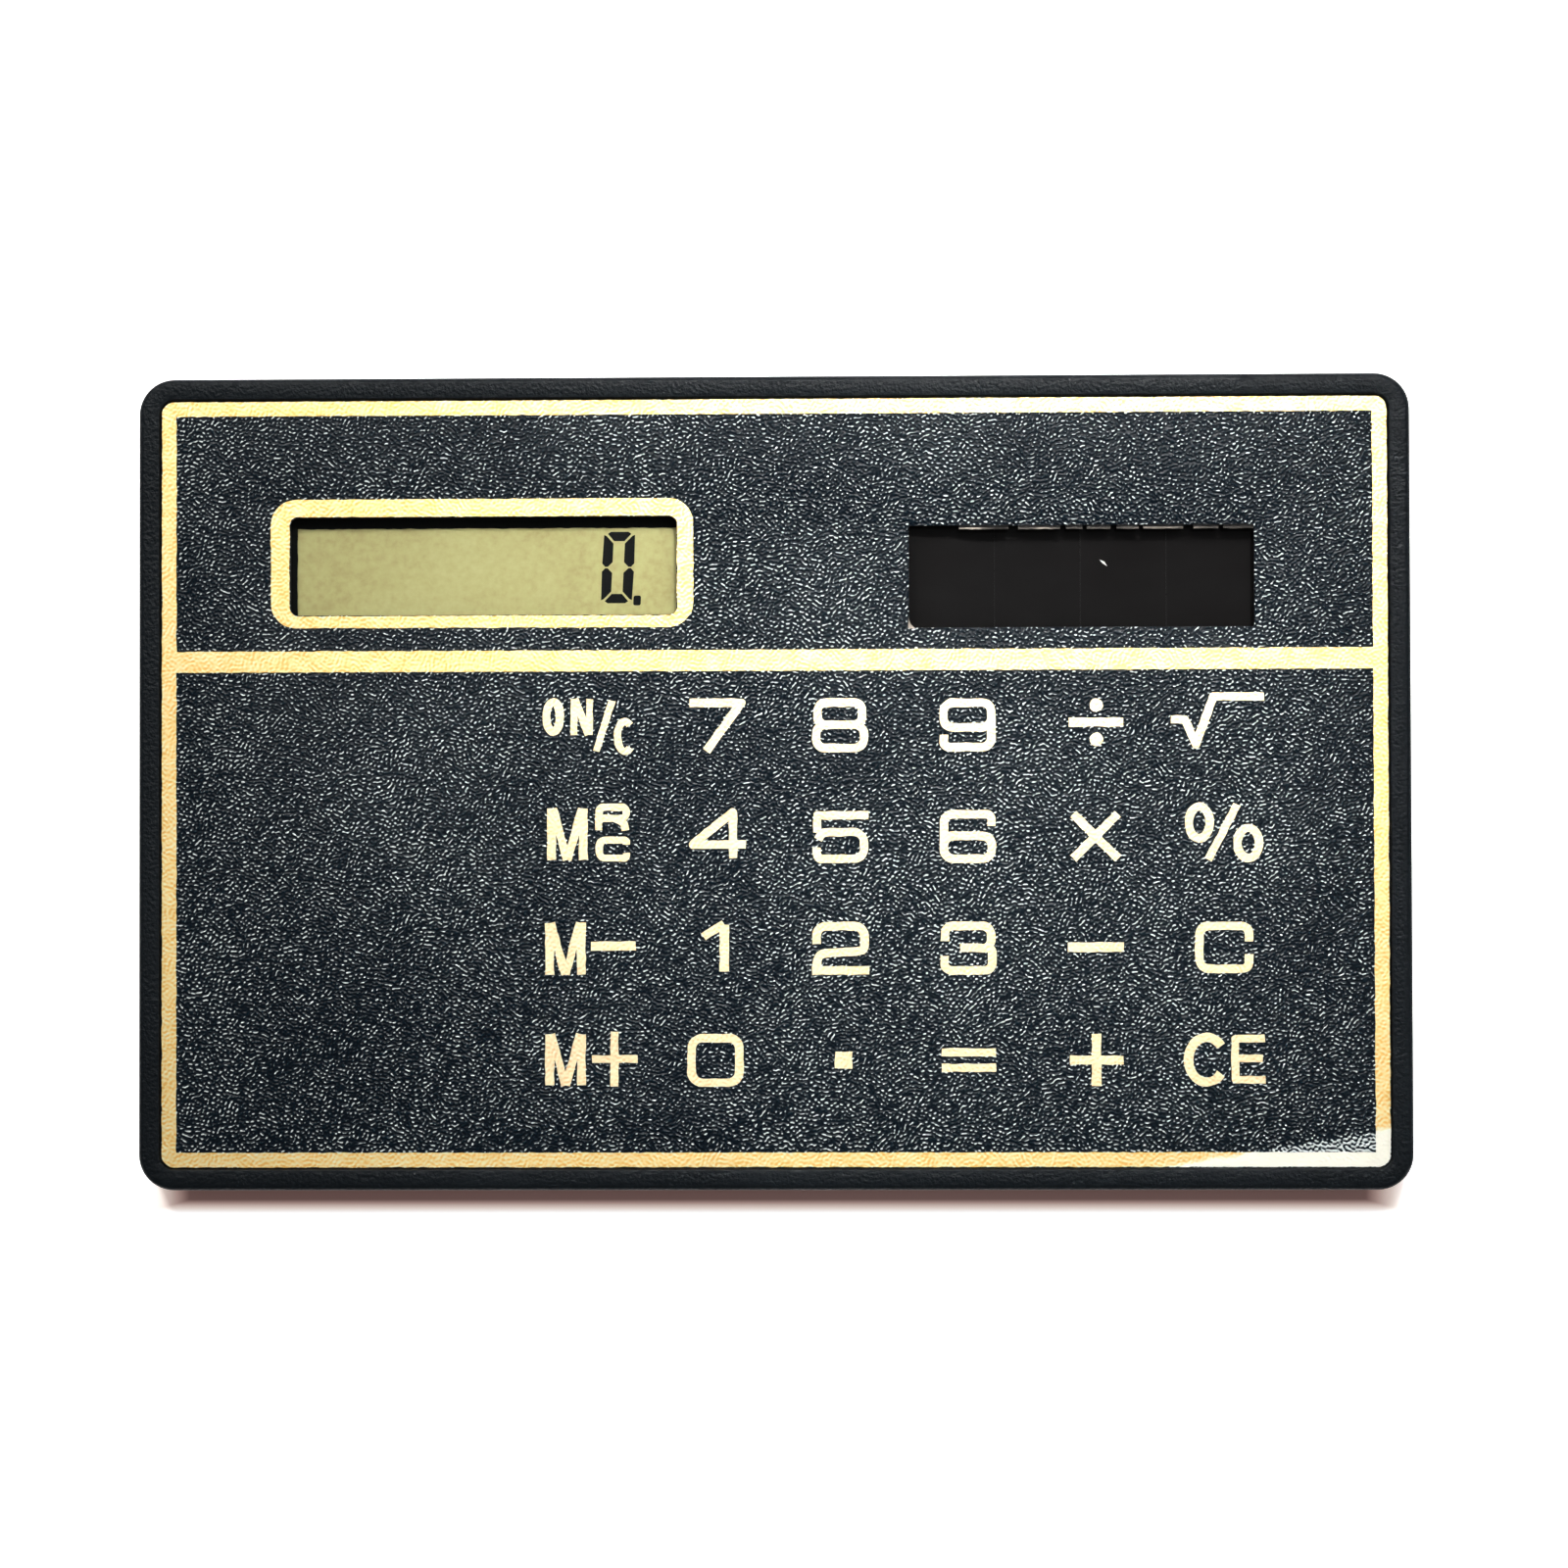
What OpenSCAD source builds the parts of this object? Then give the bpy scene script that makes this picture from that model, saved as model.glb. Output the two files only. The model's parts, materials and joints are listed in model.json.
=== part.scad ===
// Card-size solar pocket calculator. A frame holds a stiff face plate covered by a flat printed film.
// 24 keys press down through the face onto a rubber mat, and a display and a solar cell look out above them.
// The origin is the middle of the underside: +X runs along the rows of keys, +Y towards the display,
// and +Z out of the face.

/* [Body] */
// Width of the body, along the rows of keys
body_w = 86; // [70:1:110]
// Depth of the body, from the lowest row to the display's side
body_d = 55; // [45:1:72]
// Radius of the body's outer corners
corner_r = 2.4; // [1.8:0.1:4]
// Width of the rim around the face
rim_w = 1.43; // [1.15:0.01:1.8]
// Height of the rim above the face film
rim_stand = 0.25; // [0.1:0.05:0.5]
// Chamfer around the frame's top edge
top_chamfer = 0.25; // [0.1:0.05:0.4]
// Chamfer around the frame's lower edge
base_chamfer = 0.5; // [0.2:0.05:0.7]
// Width of the ledge that carries the face plate, measured in from the face's edge
ledge_w = 1.5; // [1:0.1:2]
// Height of the frame's underside above the surface the cover rests on
frame_lift = 0.15; // [0.05:0.05:0.25]

/* [Layers] */
// Thickness of the rear cover
cover_t = 0.45; // [0.35:0.05:0.7]
// Thickness of the adhesive between the rear cover and the frame
cover_bond_t = 0.1; // [0.05:0.05:0.2]
// Height of the rear cover's ribs, which carry the circuit board
rib_h = 0.15; // [0.1:0.05:0.3]
// Thickness of the circuit board
board_t = 0.5; // [0.4:0.1:0.8]
// Thickness of the face plate
plate_t = 0.8; // [0.6:0.1:1.2]
// Thickness of the adhesive under the face film
film_bond_t = 0.05; // [0.03:0.01:0.1]
// Thickness of the printed face film
film_t = 0.25; // [0.2:0.05:0.4]

/* [Keys] */
// Distance from the body's left side to the key field
keys_left = 26; // [25:0.5:30]
// Distance from the body's right side to the key field
keys_right = 8.4; // [7:0.1:10]
// Distance from the body's lower side to the key field
keys_below = 4.98; // [4.5:0.1:7]
// Distance from the display's opening down to the key field
keys_above = 3.8; // [3.6:0.1:5]
// Width of the bar of face plate between neighbours in a row
key_web_x = 2.2; // [2:0.1:2.8]
// Width of the bar of face plate between neighbours in a column
key_web_y = 2.93; // [2.4:0.1:3.4]
// Corner radius of a key
key_r = 0.5; // [0.3:0.1:0.6]
// Gap all round a key in the film
key_gap = 0.15; // [0.1:0.01:0.2]
// Clearance all round a key in the face plate, which leaves the film room to flex
hole_gap = 0.35; // [0.25:0.05:0.45]
// How far a key's flange reaches past the key, under the face plate
flange_lip = 0.6; // [0.5:0.05:0.7]
// Thickness of a key's flange
flange_t = 0.4; // [0.3:0.05:0.5]
// Travel of a key
key_travel = 0.3; // [0.2:0.02:0.4]

/* [Key mat] */
// Thickness of the mat's sheet
mat_t = 0.4; // [0.3:0.05:0.5]
// Smallest distance between the feet of two domes
dome_space = 1.53; // [1.2:0.1:2]
// Thickness of a dome's wall
dome_wall = 0.4; // [0.3:0.05:0.5]
// How much narrower a dome is at its top than at its foot, on the radius
dome_taper = 0.8; // [0.5:0.1:0.9]
// Thickness of a contact pill
pill_t = 0.2; // [0.1:0.05:0.25]
// Space all round a contact pill inside its dome
pill_space = 1; // [0.8:0.05:1.1]

/* [Display] */
// Distance from the body's left side to the display's opening
display_left = 10.3; // [9:0.1:14]
// Distance from the body's far side to the display's opening
display_top = 9.46; // [8.5:0.1:12]
// Width of the display's opening in the film
display_w = 26.2; // [20:0.2:32]
// Depth of the display's opening in the film
display_d = 6.64; // [5:0.1:8]
// Corner radius of the display's opening
display_r = 0.5; // [0.1:0.1:1]
// How far the display glass reaches past the opening
glass_lap = 2; // [1.6:0.1:2.4]
// Thickness of each of the two display glasses
glass_t = 0.4; // [0.3:0.05:0.55]
// Width of the front glass's contact ledge
glass_ledge = 2; // [1.6:0.1:2.4]
// Thickness of a polariser
polariser_t = 0.15; // [0.1:0.01:0.2]
// How far a polariser stays in from its glass's edge
polariser_inset = 0.7; // [0.4:0.1:0.9]
// Thickness of the seal between the glasses
seal_t = 0.05; // [0.03:0.01:0.08]
// Width of the seal between the glasses
seal_w = 0.9; // [0.5:0.1:1.1]
// Thickness of the tape that holds the display and the cell to the face plate
tape_t = 0.15; // [0.1:0.01:0.2]
// Clearance between the display and the board
display_clear = 0.05; // [0.03:0.01:0.1]

/* [Solar cell] */
// Distance between the display's opening and the solar window
solar_space = 15.74; // [14:0.1:18]
// Distance from the solar window to the body's right side
solar_right = 10.5; // [9:0.1:13]
// Distance from the body's far side to the solar window
solar_top = 10.19; // [9:0.1:13]
// Depth of the solar window
solar_d = 6.88; // [5:0.1:8]
// How far the cell reaches past its window
solar_lap = 1.4; // [1:0.1:1.6]
// Thickness of the cell's glass
solar_glass_t = 0.7; // [0.5:0.05:0.85]
// Thickness of the active film on the cell's back
solar_film_t = 0.05; // [0.03:0.01:0.08]
// Thickness of a lead wire
lead_d = 0.25; // [0.15:0.01:0.3]

/* [Fits] */
// Clearance around the face film in the frame
film_gap = 0.07; // [0.03:0.01:0.15]
// Clearance around the face plate in the frame
plate_gap = 0.1; // [0.05:0.01:0.2]
// Clearance around the rear cover in the frame
cover_gap = 0.15; // [0.05:0.01:0.25]
// Clearance around the circuit board in the frame
board_gap = 0.3; // [0.2:0.05:0.5]
// How far the face plate's windows stand back from the film's openings
window_step = 0.2; // [0.1:0.05:0.4]
// Radius of the pins that hold the mat and the board in place
pin_r = 0.5; // [0.4:0.05:0.6]
// Radius of the shoulders above the pins
shoulder_r = 0.95; // [0.75:0.05:1.15]
// Clearance around a pin
pin_gap = 0.1; // [0.05:0.01:0.15]

/* [Hidden] */
$fn = 48;
cap_fn = 144;
key_names = [
    ["key_on_c", "key_7", "key_8", "key_9", "key_divide", "key_root"],
    ["key_mrc", "key_4", "key_5", "key_6", "key_multiply", "key_percent"],
    ["key_m_minus", "key_1", "key_2", "key_3", "key_minus", "key_c"],
    ["key_m_plus", "key_0", "key_point", "key_equals", "key_plus", "key_ce"],
];

// Colours
charcoal = [0.13, 0.14, 0.15];
film_grey = [0.27, 0.3, 0.31];
olive_grey = [0.76, 0.75, 0.51];
clear_glass = [0.8, 0.86, 0.84];
board_green = [0.1, 0.32, 0.2];
tape_white = [0.9, 0.9, 0.86];
silver = [0.75, 0.76, 0.78];

// The stack, from the resting surface up
z_bond = cover_t;
z_ledge = cover_t + cover_bond_t;
z_board = cover_t + rib_h;
z_mat = z_board + board_t;
display_h = display_clear + 2 * polariser_t + 2 * glass_t + seal_t + tape_t;
z_plate = z_mat + display_h;
z_film_bond = z_plate + plate_t;
z_film = z_film_bond + film_bond_t;
z_face = z_film + film_t;
z_top = z_face + rim_stand;
z_flange = z_plate - flange_t;

// The frame's openings
recess_w = body_w - 2 * rim_w;
recess_d = body_d - 2 * rim_w;
bay_w = recess_w - 2 * ledge_w;
bay_d = recess_d - 2 * ledge_w;
least_r = 0.1;

// The circuit board
board_w = bay_w - 2 * board_gap;
board_d = bay_d - 2 * board_gap;

// The display's opening
display_x = -body_w / 2 + display_left + display_w / 2;
display_y = body_d / 2 - display_top - display_d / 2;
glass_w = display_w + 2 * glass_lap;
glass_d = display_d + 2 * glass_lap;

// The solar window, which fills what is left beside the display
solar_x0 = display_x + display_w / 2 + solar_space;
solar_x1 = body_w / 2 - solar_right;
solar_w = solar_x1 - solar_x0;
solar_x = (solar_x0 + solar_x1) / 2;
solar_y = body_d / 2 - solar_top - solar_d / 2;
cell_w = solar_w + 2 * solar_lap;
cell_d = solar_d + 2 * solar_lap;

// The key field is shared out evenly between the rows and columns
rows = len(key_names);
columns = len(key_names[0]);
field_x0 = -body_w / 2 + keys_left;
field_x1 = body_w / 2 - keys_right;
field_y0 = -body_d / 2 + keys_below;
field_y1 = display_y - display_d / 2 - keys_above;
pitch_x = (field_x1 - field_x0) / columns;
pitch_y = (field_y1 - field_y0) / rows;
key_w = pitch_x - key_web_x;
key_d = pitch_y - key_web_y;
mat_edge = 0.3;

// Domes and contact pills
dome_r = (min(pitch_x, pitch_y) - dome_space) / 2;
dome_top_r = dome_r - dome_taper;
dome_h = z_flange - z_mat - mat_t;
ceiling_z = z_mat + key_travel + pill_t;
ceiling_h = ceiling_z - z_mat - mat_t;
ceiling_r = dome_r - dome_wall - max(0, ceiling_h) * dome_taper / dome_h;
pill_r = ceiling_r - pill_space;

// The electronics sit left of the key field, below the display
parts_x = (-board_w / 2 + field_x0 - mat_edge) / 2;
parts_y = (-board_d / 2 + display_y - glass_d / 2) / 2;
parts_half_w = (field_x0 - mat_edge + board_w / 2) / 2;
parts_half_d = (display_y - glass_d / 2 + board_d / 2) / 2;

// Posts under the face plate: some pass between the domes of the mat, the others stand on the bare board
post_inset = 2.2;
pin_lift = 0.05;
mat_posts = [for (column = [1, columns - 1], row = [1, rows - 1])
    [field_x0 + column * pitch_x, field_y0 + row * pitch_y]];
board_posts = [for (side = [-1, 1])
    [parts_x - parts_half_w + post_inset, parts_y + side * (parts_half_d - post_inset)]];

// Small electronic parts: sizes are length, depth and height, places are from the middle of their space
die_size = [2.6, 2.4, 0.3];
blob_r = 4;
blob_h = 1;
storage_size = [3.5, 2.8, 1.1];
storage_place = [3.2, -8.2];
capacitor_size = [1.6, 0.8, 0.7];
capacitor_places = [[-6.6, 2.6], [-6.6, 0], [-6.6, -2.6]];
resistor_size = [1.6, 0.8, 0.45];
resistor_places = [[6.6, 4], [6.6, 1.4], [6.6, -1.2], [6.6, -3.8]];
diode_size = [1.6, 1.2, 0.8];
diode_place = [3.2, 8.2];
cap_share = 0.2;

// The cell's leads and their solder
wire_r = lead_d / 2;
wire_lift = 0.03;
wire_z = z_mat + wire_lift + wire_r;
film_z = z_plate - tape_t - solar_glass_t - solar_film_t;
wire_pad_x = solar_x - cell_w / 2 - 2.5;
wire_inset = 1.5;
wire_apart = 2.5;
solder_r = 0.6;
solder_h = 0.4;
solder_clear = 0.04;

// A flat outline with rounded corners, centred
module rounded_outline(w, d, r) {
    square([w - 2 * r, d], center = true);
    square([w, d - 2 * r], center = true);
    for (sx = [-1, 1], sy = [-1, 1])
        translate([sx * (w / 2 - r), sy * (d / 2 - r)])
            circle(r = r);
}

// A flat plate with rounded corners, from z0 to z1
module rounded_plate(w, d, r, z0, z1) {
    translate([0, 0, z0])
        linear_extrude(height = z1 - z0)
            rounded_outline(w, d, max(r, least_r));
}

// A block with square corners, centred on X and Y, from z0 to z1
module block(w, d, z0, z1) {
    translate([-w / 2, -d / 2, z0])
        cube([w, d, z1 - z0]);
}

// A block with rounded corners whose lower and upper edges are chamfered
module chamfered_block(w, d, r, z0, z1, low, high) {
    for (sx = [-1, 1], sy = [-1, 1])
        translate([sx * (w / 2 - r), sy * (d / 2 - r), 0])
            rotate_extrude()
                polygon([[0, z0], [r - low, z0], [r, z0 + low], [r, z1 - high], [r - high, z1], [0, z1]]);
    translate([0, d / 2 - r, 0])
        rotate([90, 0, 0])
            linear_extrude(height = d - 2 * r)
                chamfered_section(w, z0, z1, low, high);
    translate([-w / 2 + r, 0, 0])
        rotate([90, 0, 90])
            linear_extrude(height = w - 2 * r)
                chamfered_section(d, z0, z1, low, high);
}

// The section across a chamfered block
module chamfered_section(w, z0, z1, low, high) {
    polygon([
        [-w / 2 + low, z0], [w / 2 - low, z0], [w / 2, z0 + low], [w / 2, z1 - high],
        [w / 2 - high, z1], [-w / 2 + high, z1], [-w / 2, z1 - high], [-w / 2, z0 + low],
    ]);
}

// A spherical cap of radius r and height h, standing on z = 0
module cap(r, h) {
    sphere_r = (r * r + h * h) / (2 * h);
    rotate_extrude()
        intersection() {
            translate([0, h - sphere_r])
                circle(r = sphere_r, $fn = cap_fn);
            square([r, h]);
        }
}

// Places its children at every key
module at_keys() {
    for (row = [0 : rows - 1], column = [0 : columns - 1])
        at_key(row, column)
            children();
}

// Places its children at one key, with row 0 nearest the display
module at_key(row, column) {
    translate([field_x0 + (column + 0.5) * pitch_x, field_y1 - (row + 0.5) * pitch_y, 0])
        children();
}

// Places its children at each of a list of places
module at_places(places) {
    for (place = places)
        translate([place[0], place[1], 0])
            children();
}

// Posts whose shoulders end at height z, each with a pin that reaches through the board
module shouldered_posts(places, z) {
    at_places(places) {
        translate([0, 0, z])
            cylinder(r = shoulder_r, h = z_plate - z);
        translate([0, 0, z_board + pin_lift])
            cylinder(r = pin_r, h = z_plate - z_board - pin_lift);
    }
}

// The holes that the keys, the display and the cell need in a face layer
module face_openings(z0, z1, gap, step) {
    at_keys()
        rounded_plate(key_w + 2 * gap, key_d + 2 * gap, key_r + gap, z0, z1);
    translate([display_x, display_y, 0])
        rounded_plate(display_w + 2 * step, display_d + 2 * step, display_r + step, z0, z1);
    translate([solar_x, solar_y, 0])
        block(solar_w + 2 * step, solar_d + 2 * step, z0, z1);
}

// A small part with a metal cap at each end
module chip_part(size) {
    end_w = size[0] * cap_share;
    color(silver)
        for (side = [-1, 1])
            translate([side * (size[0] - end_w) / 2, 0, 0])
                block(end_w, size[1], 0, size[2]);
    block(size[0] - 2 * end_w, size[1], 0, size[2]);
}

// Places its children on the board, measured from the middle of the electronics' space
module on_board(place) {
    translate([parts_x + place[0], parts_y + place[1], z_mat])
        children();
}

// Moulded frame: the visible rim, the ledge under the face plate and the seat of the rear cover
module case_frame() {
    color(charcoal)
        difference() {
            chamfered_block(body_w, body_d, corner_r, frame_lift, z_top, base_chamfer, top_chamfer);
            rounded_plate(recess_w, recess_d, corner_r - rim_w, z_plate, z_top + 1);
            rounded_plate(recess_w, recess_d, corner_r - rim_w, frame_lift - 1, z_ledge);
            block(bay_w, bay_d, frame_lift - 1, z_top + 1);
        }
}

// Stiff plate behind the film, with the key holes, the windows and the posts that hold the board down
module face_plate() {
    plate_w = recess_w - 2 * plate_gap;
    plate_d = recess_d - 2 * plate_gap;
    color(charcoal) {
        difference() {
            rounded_plate(plate_w, plate_d, corner_r - rim_w - plate_gap, z_plate, z_film_bond);
            face_openings(z_plate - 1, z_film_bond + 1, hole_gap, window_step);
        }
        shouldered_posts(mat_posts, z_mat + mat_t);
        shouldered_posts(board_posts, z_mat);
    }
}

// Flat rear cover, bonded into the frame, with ribs that back the board up under each row of keys
module rear_cover() {
    cover_w = recess_w - 2 * cover_gap;
    cover_d = recess_d - 2 * cover_gap;
    rib_w = 1;
    rib_x = (field_x0 + field_x1) / 2;
    color(charcoal) {
        rounded_plate(cover_w, cover_d, corner_r - rim_w - cover_gap, 0, cover_t);
        for (row = [0 : rows - 1])
            translate([rib_x, field_y1 - (row + 0.5) * pitch_y, 0])
                block(field_x1 - field_x0, rib_w, 0, z_board);
        for (side = [-1, 1])
            translate([parts_x, parts_y + side * parts_half_d / 2, 0])
                block(2 * parts_half_w - 2 * post_inset, rib_w, 0, z_board);
        translate([display_x, display_y, 0])
            block(glass_w, rib_w, 0, z_board);
    }
}

// Ring of adhesive between the rear cover and the frame
module rear_adhesive() {
    inset = 0.25;
    color(tape_white)
        difference() {
            rounded_plate(recess_w - 2 * cover_gap - inset, recess_d - 2 * cover_gap - inset,
                corner_r - rim_w, z_bond, z_ledge);
            block(bay_w + inset, bay_d + inset, z_bond - 1, z_ledge + 1);
        }
}

// Printed and grained face film
module face_film() {
    color(film_grey)
        difference() {
            rounded_plate(recess_w - 2 * film_gap, recess_d - 2 * film_gap, corner_r - rim_w - film_gap,
                z_film, z_face);
            face_openings(z_film - 1, z_face + 1, key_gap, 0);
        }
}

// Adhesive between the face plate and the film
module film_adhesive() {
    inset = 0.4;
    color(tape_white)
        difference() {
            rounded_plate(recess_w - 2 * inset, recess_d - 2 * inset, corner_r - rim_w, z_film_bond, z_film);
            face_openings(z_film_bond - 1, z_film + 1, hole_gap, window_step);
        }
}

// One key: the pressing zone of the face with its plunger, and a flange that keeps it in
module key(row, column) {
    flange_w = key_w + 2 * flange_lip;
    flange_d = key_d + 2 * flange_lip;
    color(film_grey)
        at_key(row, column) {
            rounded_plate(key_w, key_d, key_r, z_flange, z_face);
            rounded_plate(flange_w, flange_d, key_r, z_flange, z_plate);
        }
}

// Silicone mat with a hollow dome under each key
module key_mat() {
    mat_w = field_x1 - field_x0 + 2 * mat_edge;
    mat_d = field_y1 - field_y0 + 2 * mat_edge;
    color("gainsboro")
        difference() {
            union() {
                translate([(field_x0 + field_x1) / 2, (field_y0 + field_y1) / 2, 0])
                    block(mat_w, mat_d, z_mat, z_mat + mat_t);
                at_keys()
                    translate([0, 0, z_mat + mat_t])
                        cylinder(r1 = dome_r, r2 = dome_top_r, h = dome_h);
            }
            at_keys() {
                translate([0, 0, z_mat - 1])
                    cylinder(r = dome_r - dome_wall, h = 1 + min(mat_t, key_travel + pill_t));
                translate([0, 0, z_mat + mat_t])
                    cylinder(r1 = dome_r - dome_wall, r2 = ceiling_r, h = max(0.01, ceiling_h));
            }
            at_places(mat_posts)
                translate([0, 0, z_mat - 1])
                    cylinder(r = pin_r + pin_gap, h = mat_t + 2);
        }
}

// Carbon pills that close the contacts, one inside each dome, at the key's travel above the board
module contact_pills() {
    color([0.08, 0.08, 0.08])
        at_keys()
            translate([0, 0, z_mat + key_travel])
                cylinder(r = pill_r, h = pill_t);
}

// Circuit board, located by the face plate's pins
module circuit_board() {
    color(board_green)
        difference() {
            block(board_w, board_d, z_board, z_mat);
            at_places(concat(mat_posts, board_posts))
                translate([0, 0, z_board - 1])
                    cylinder(r = pin_r + pin_gap, h = board_t + 2);
        }
}

// Bare chip, bonded to the board
module calculator_chip() {
    color([0.3, 0.32, 0.38])
        on_board([0, 0])
            block(die_size[0], die_size[1], 0, die_size[2]);
}

// Drop of black resin over the chip
module chip_encapsulant() {
    color([0.05, 0.05, 0.05])
        on_board([0, 0])
            difference() {
                cap(blob_r, blob_h);
                block(die_size[0], die_size[1], -1, die_size[2]);
            }
}

// Capacitor that carries the supply through a passing shadow
module storage_capacitor() {
    color([0.85, 0.6, 0.15])
        on_board(storage_place)
            chip_part(storage_size);
}

// Small capacitors beside the chip
module filter_capacitors() {
    color([0.6, 0.45, 0.3])
        for (place = capacitor_places)
            on_board(place)
                chip_part(capacitor_size);
}

// Resistors beside the chip
module resistors() {
    color([0.1, 0.1, 0.12])
        for (place = resistor_places)
            on_board(place)
                chip_part(resistor_size);
}

// Diode that holds the cell's voltage down in bright light
module clamp_diode() {
    color([0.9, 0.85, 0.8])
        on_board(diode_place)
            chip_part(diode_size);
}

// Front glass of the display, with a contact ledge on its far side
module lcd_front_glass() {
    z1 = z_plate - tape_t - polariser_t;
    color(clear_glass)
        translate([display_x, display_y + glass_ledge / 2, 0])
            block(glass_w, glass_d + glass_ledge, z1 - glass_t, z1);
}

// Rear glass of the display
module lcd_rear_glass() {
    z0 = z_mat + display_clear + polariser_t;
    color(clear_glass)
        translate([display_x, display_y, 0])
            block(glass_w, glass_d, z0, z0 + glass_t);
}

// Ring of sealant between the two glasses
module lcd_seal() {
    z0 = z_mat + display_clear + polariser_t + glass_t;
    edge = 0.2;
    color("beige")
        translate([display_x, display_y, 0])
            difference() {
                block(glass_w - 2 * edge, glass_d - 2 * edge, z0, z0 + seal_t);
                block(glass_w - 2 * (edge + seal_w), glass_d - 2 * (edge + seal_w), z0 - 1, z0 + 1);
            }
}

// Front polariser, the surface seen through the opening
module lcd_front_polariser() {
    z1 = z_plate - tape_t;
    color(olive_grey)
        translate([display_x, display_y, 0])
            block(glass_w - 2 * polariser_inset, glass_d - 2 * polariser_inset, z1 - polariser_t, z1);
}

// Rear polariser with its reflector
module lcd_rear_polariser() {
    z0 = z_mat + display_clear;
    color(olive_grey)
        translate([display_x, display_y, 0])
            block(glass_w - 2 * polariser_inset, glass_d - 2 * polariser_inset, z0, z0 + polariser_t);
}

// Tape frame between the front polariser and the face plate
module lcd_tape() {
    lap = 0.3;
    color(tape_white)
        translate([display_x, display_y, 0])
            difference() {
                block(glass_w - 2 * polariser_inset, glass_d - 2 * polariser_inset, z_plate - tape_t, z_plate);
                block(display_w + 2 * (window_step + lap), display_d + 2 * (window_step + lap),
                    z_plate - 1, z_plate + 1);
            }
}

// Striped rubber connector between the board and the front glass's ledge
module zebra_strip() {
    inset = 0.25;
    color("pink")
        translate([display_x, display_y + glass_d / 2 + glass_ledge / 2, 0])
            block(glass_w - 2 * inset, glass_ledge - 2 * inset, z_mat,
                z_plate - tape_t - polariser_t - glass_t);
}

// Cover glass of the solar cell
module solar_glass() {
    color([0.1, 0.1, 0.11])
        translate([solar_x, solar_y, 0])
            block(cell_w, cell_d, z_plate - tape_t - solar_glass_t, z_plate - tape_t);
}

// Active film and its electrodes, on the back of the cell's glass
module solar_film() {
    inset = 0.15;
    color([0.25, 0.15, 0.12])
        translate([solar_x, solar_y, 0])
            block(cell_w - 2 * inset, cell_d - 2 * inset, film_z, film_z + solar_film_t);
}

// Tape frame between the cell and the face plate
module solar_tape() {
    lap = 0.3;
    color(tape_white)
        translate([solar_x, solar_y, 0])
            difference() {
                block(cell_w, cell_d, z_plate - tape_t, z_plate);
                block(solar_w + 2 * (window_step + lap), solar_d + 2 * (window_step + lap),
                    z_plate - 1, z_plate + 1);
            }
}

// A straight lead wire between two places along X
module lead(x0, x1, y) {
    translate([x0, y, wire_z])
        rotate([0, 90, 0])
            cylinder(r = wire_r, h = x1 - x0);
}

// Lead from the cell's near end to the board
module solar_lead_positive() {
    color("firebrick")
        lead(wire_pad_x, solar_x - cell_w / 2 + wire_inset, solar_y + wire_apart);
}

// Lead from the cell's far end, under the cell, to the board
module solar_lead_negative() {
    color("midnightblue")
        lead(wire_pad_x, solar_x + cell_w / 2 - wire_inset, solar_y - wire_apart);
}

// Solder at both ends of both leads
module solder_joints() {
    color(silver)
        difference() {
            for (side = [-1, 1]) {
                cell_end = side > 0 ? solar_x - cell_w / 2 + wire_inset : solar_x + cell_w / 2 - wire_inset;
                translate([wire_pad_x, solar_y + side * wire_apart, z_mat])
                    cap(solder_r, solder_h);
                translate([cell_end, solar_y + side * wire_apart, film_z])
                    mirror([0, 0, 1])
                        cap(solder_r, film_z - z_mat - solder_clear);
            }
            solar_lead_positive();
            solar_lead_negative();
        }
}

case_frame();
face_plate();
rear_cover();
rear_adhesive();
face_film();
film_adhesive();
key_mat();
contact_pills();
circuit_board();
chip_encapsulant();
calculator_chip();
storage_capacitor();
filter_capacitors();
resistors();
clamp_diode();
lcd_front_glass();
lcd_rear_glass();
lcd_seal();
lcd_front_polariser();
lcd_rear_polariser();
lcd_tape();
zebra_strip();
solar_glass();
solar_film();
solar_tape();
solar_lead_positive();
solar_lead_negative();
solder_joints();
for (row = [0 : rows - 1], column = [0 : columns - 1])
    key(row, column);
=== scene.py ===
import json
import math

import bmesh
import bpy
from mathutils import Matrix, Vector
from mathutils.geometry import delaunay_2d_cdt
from mathutils.noise import noise_vector


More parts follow.
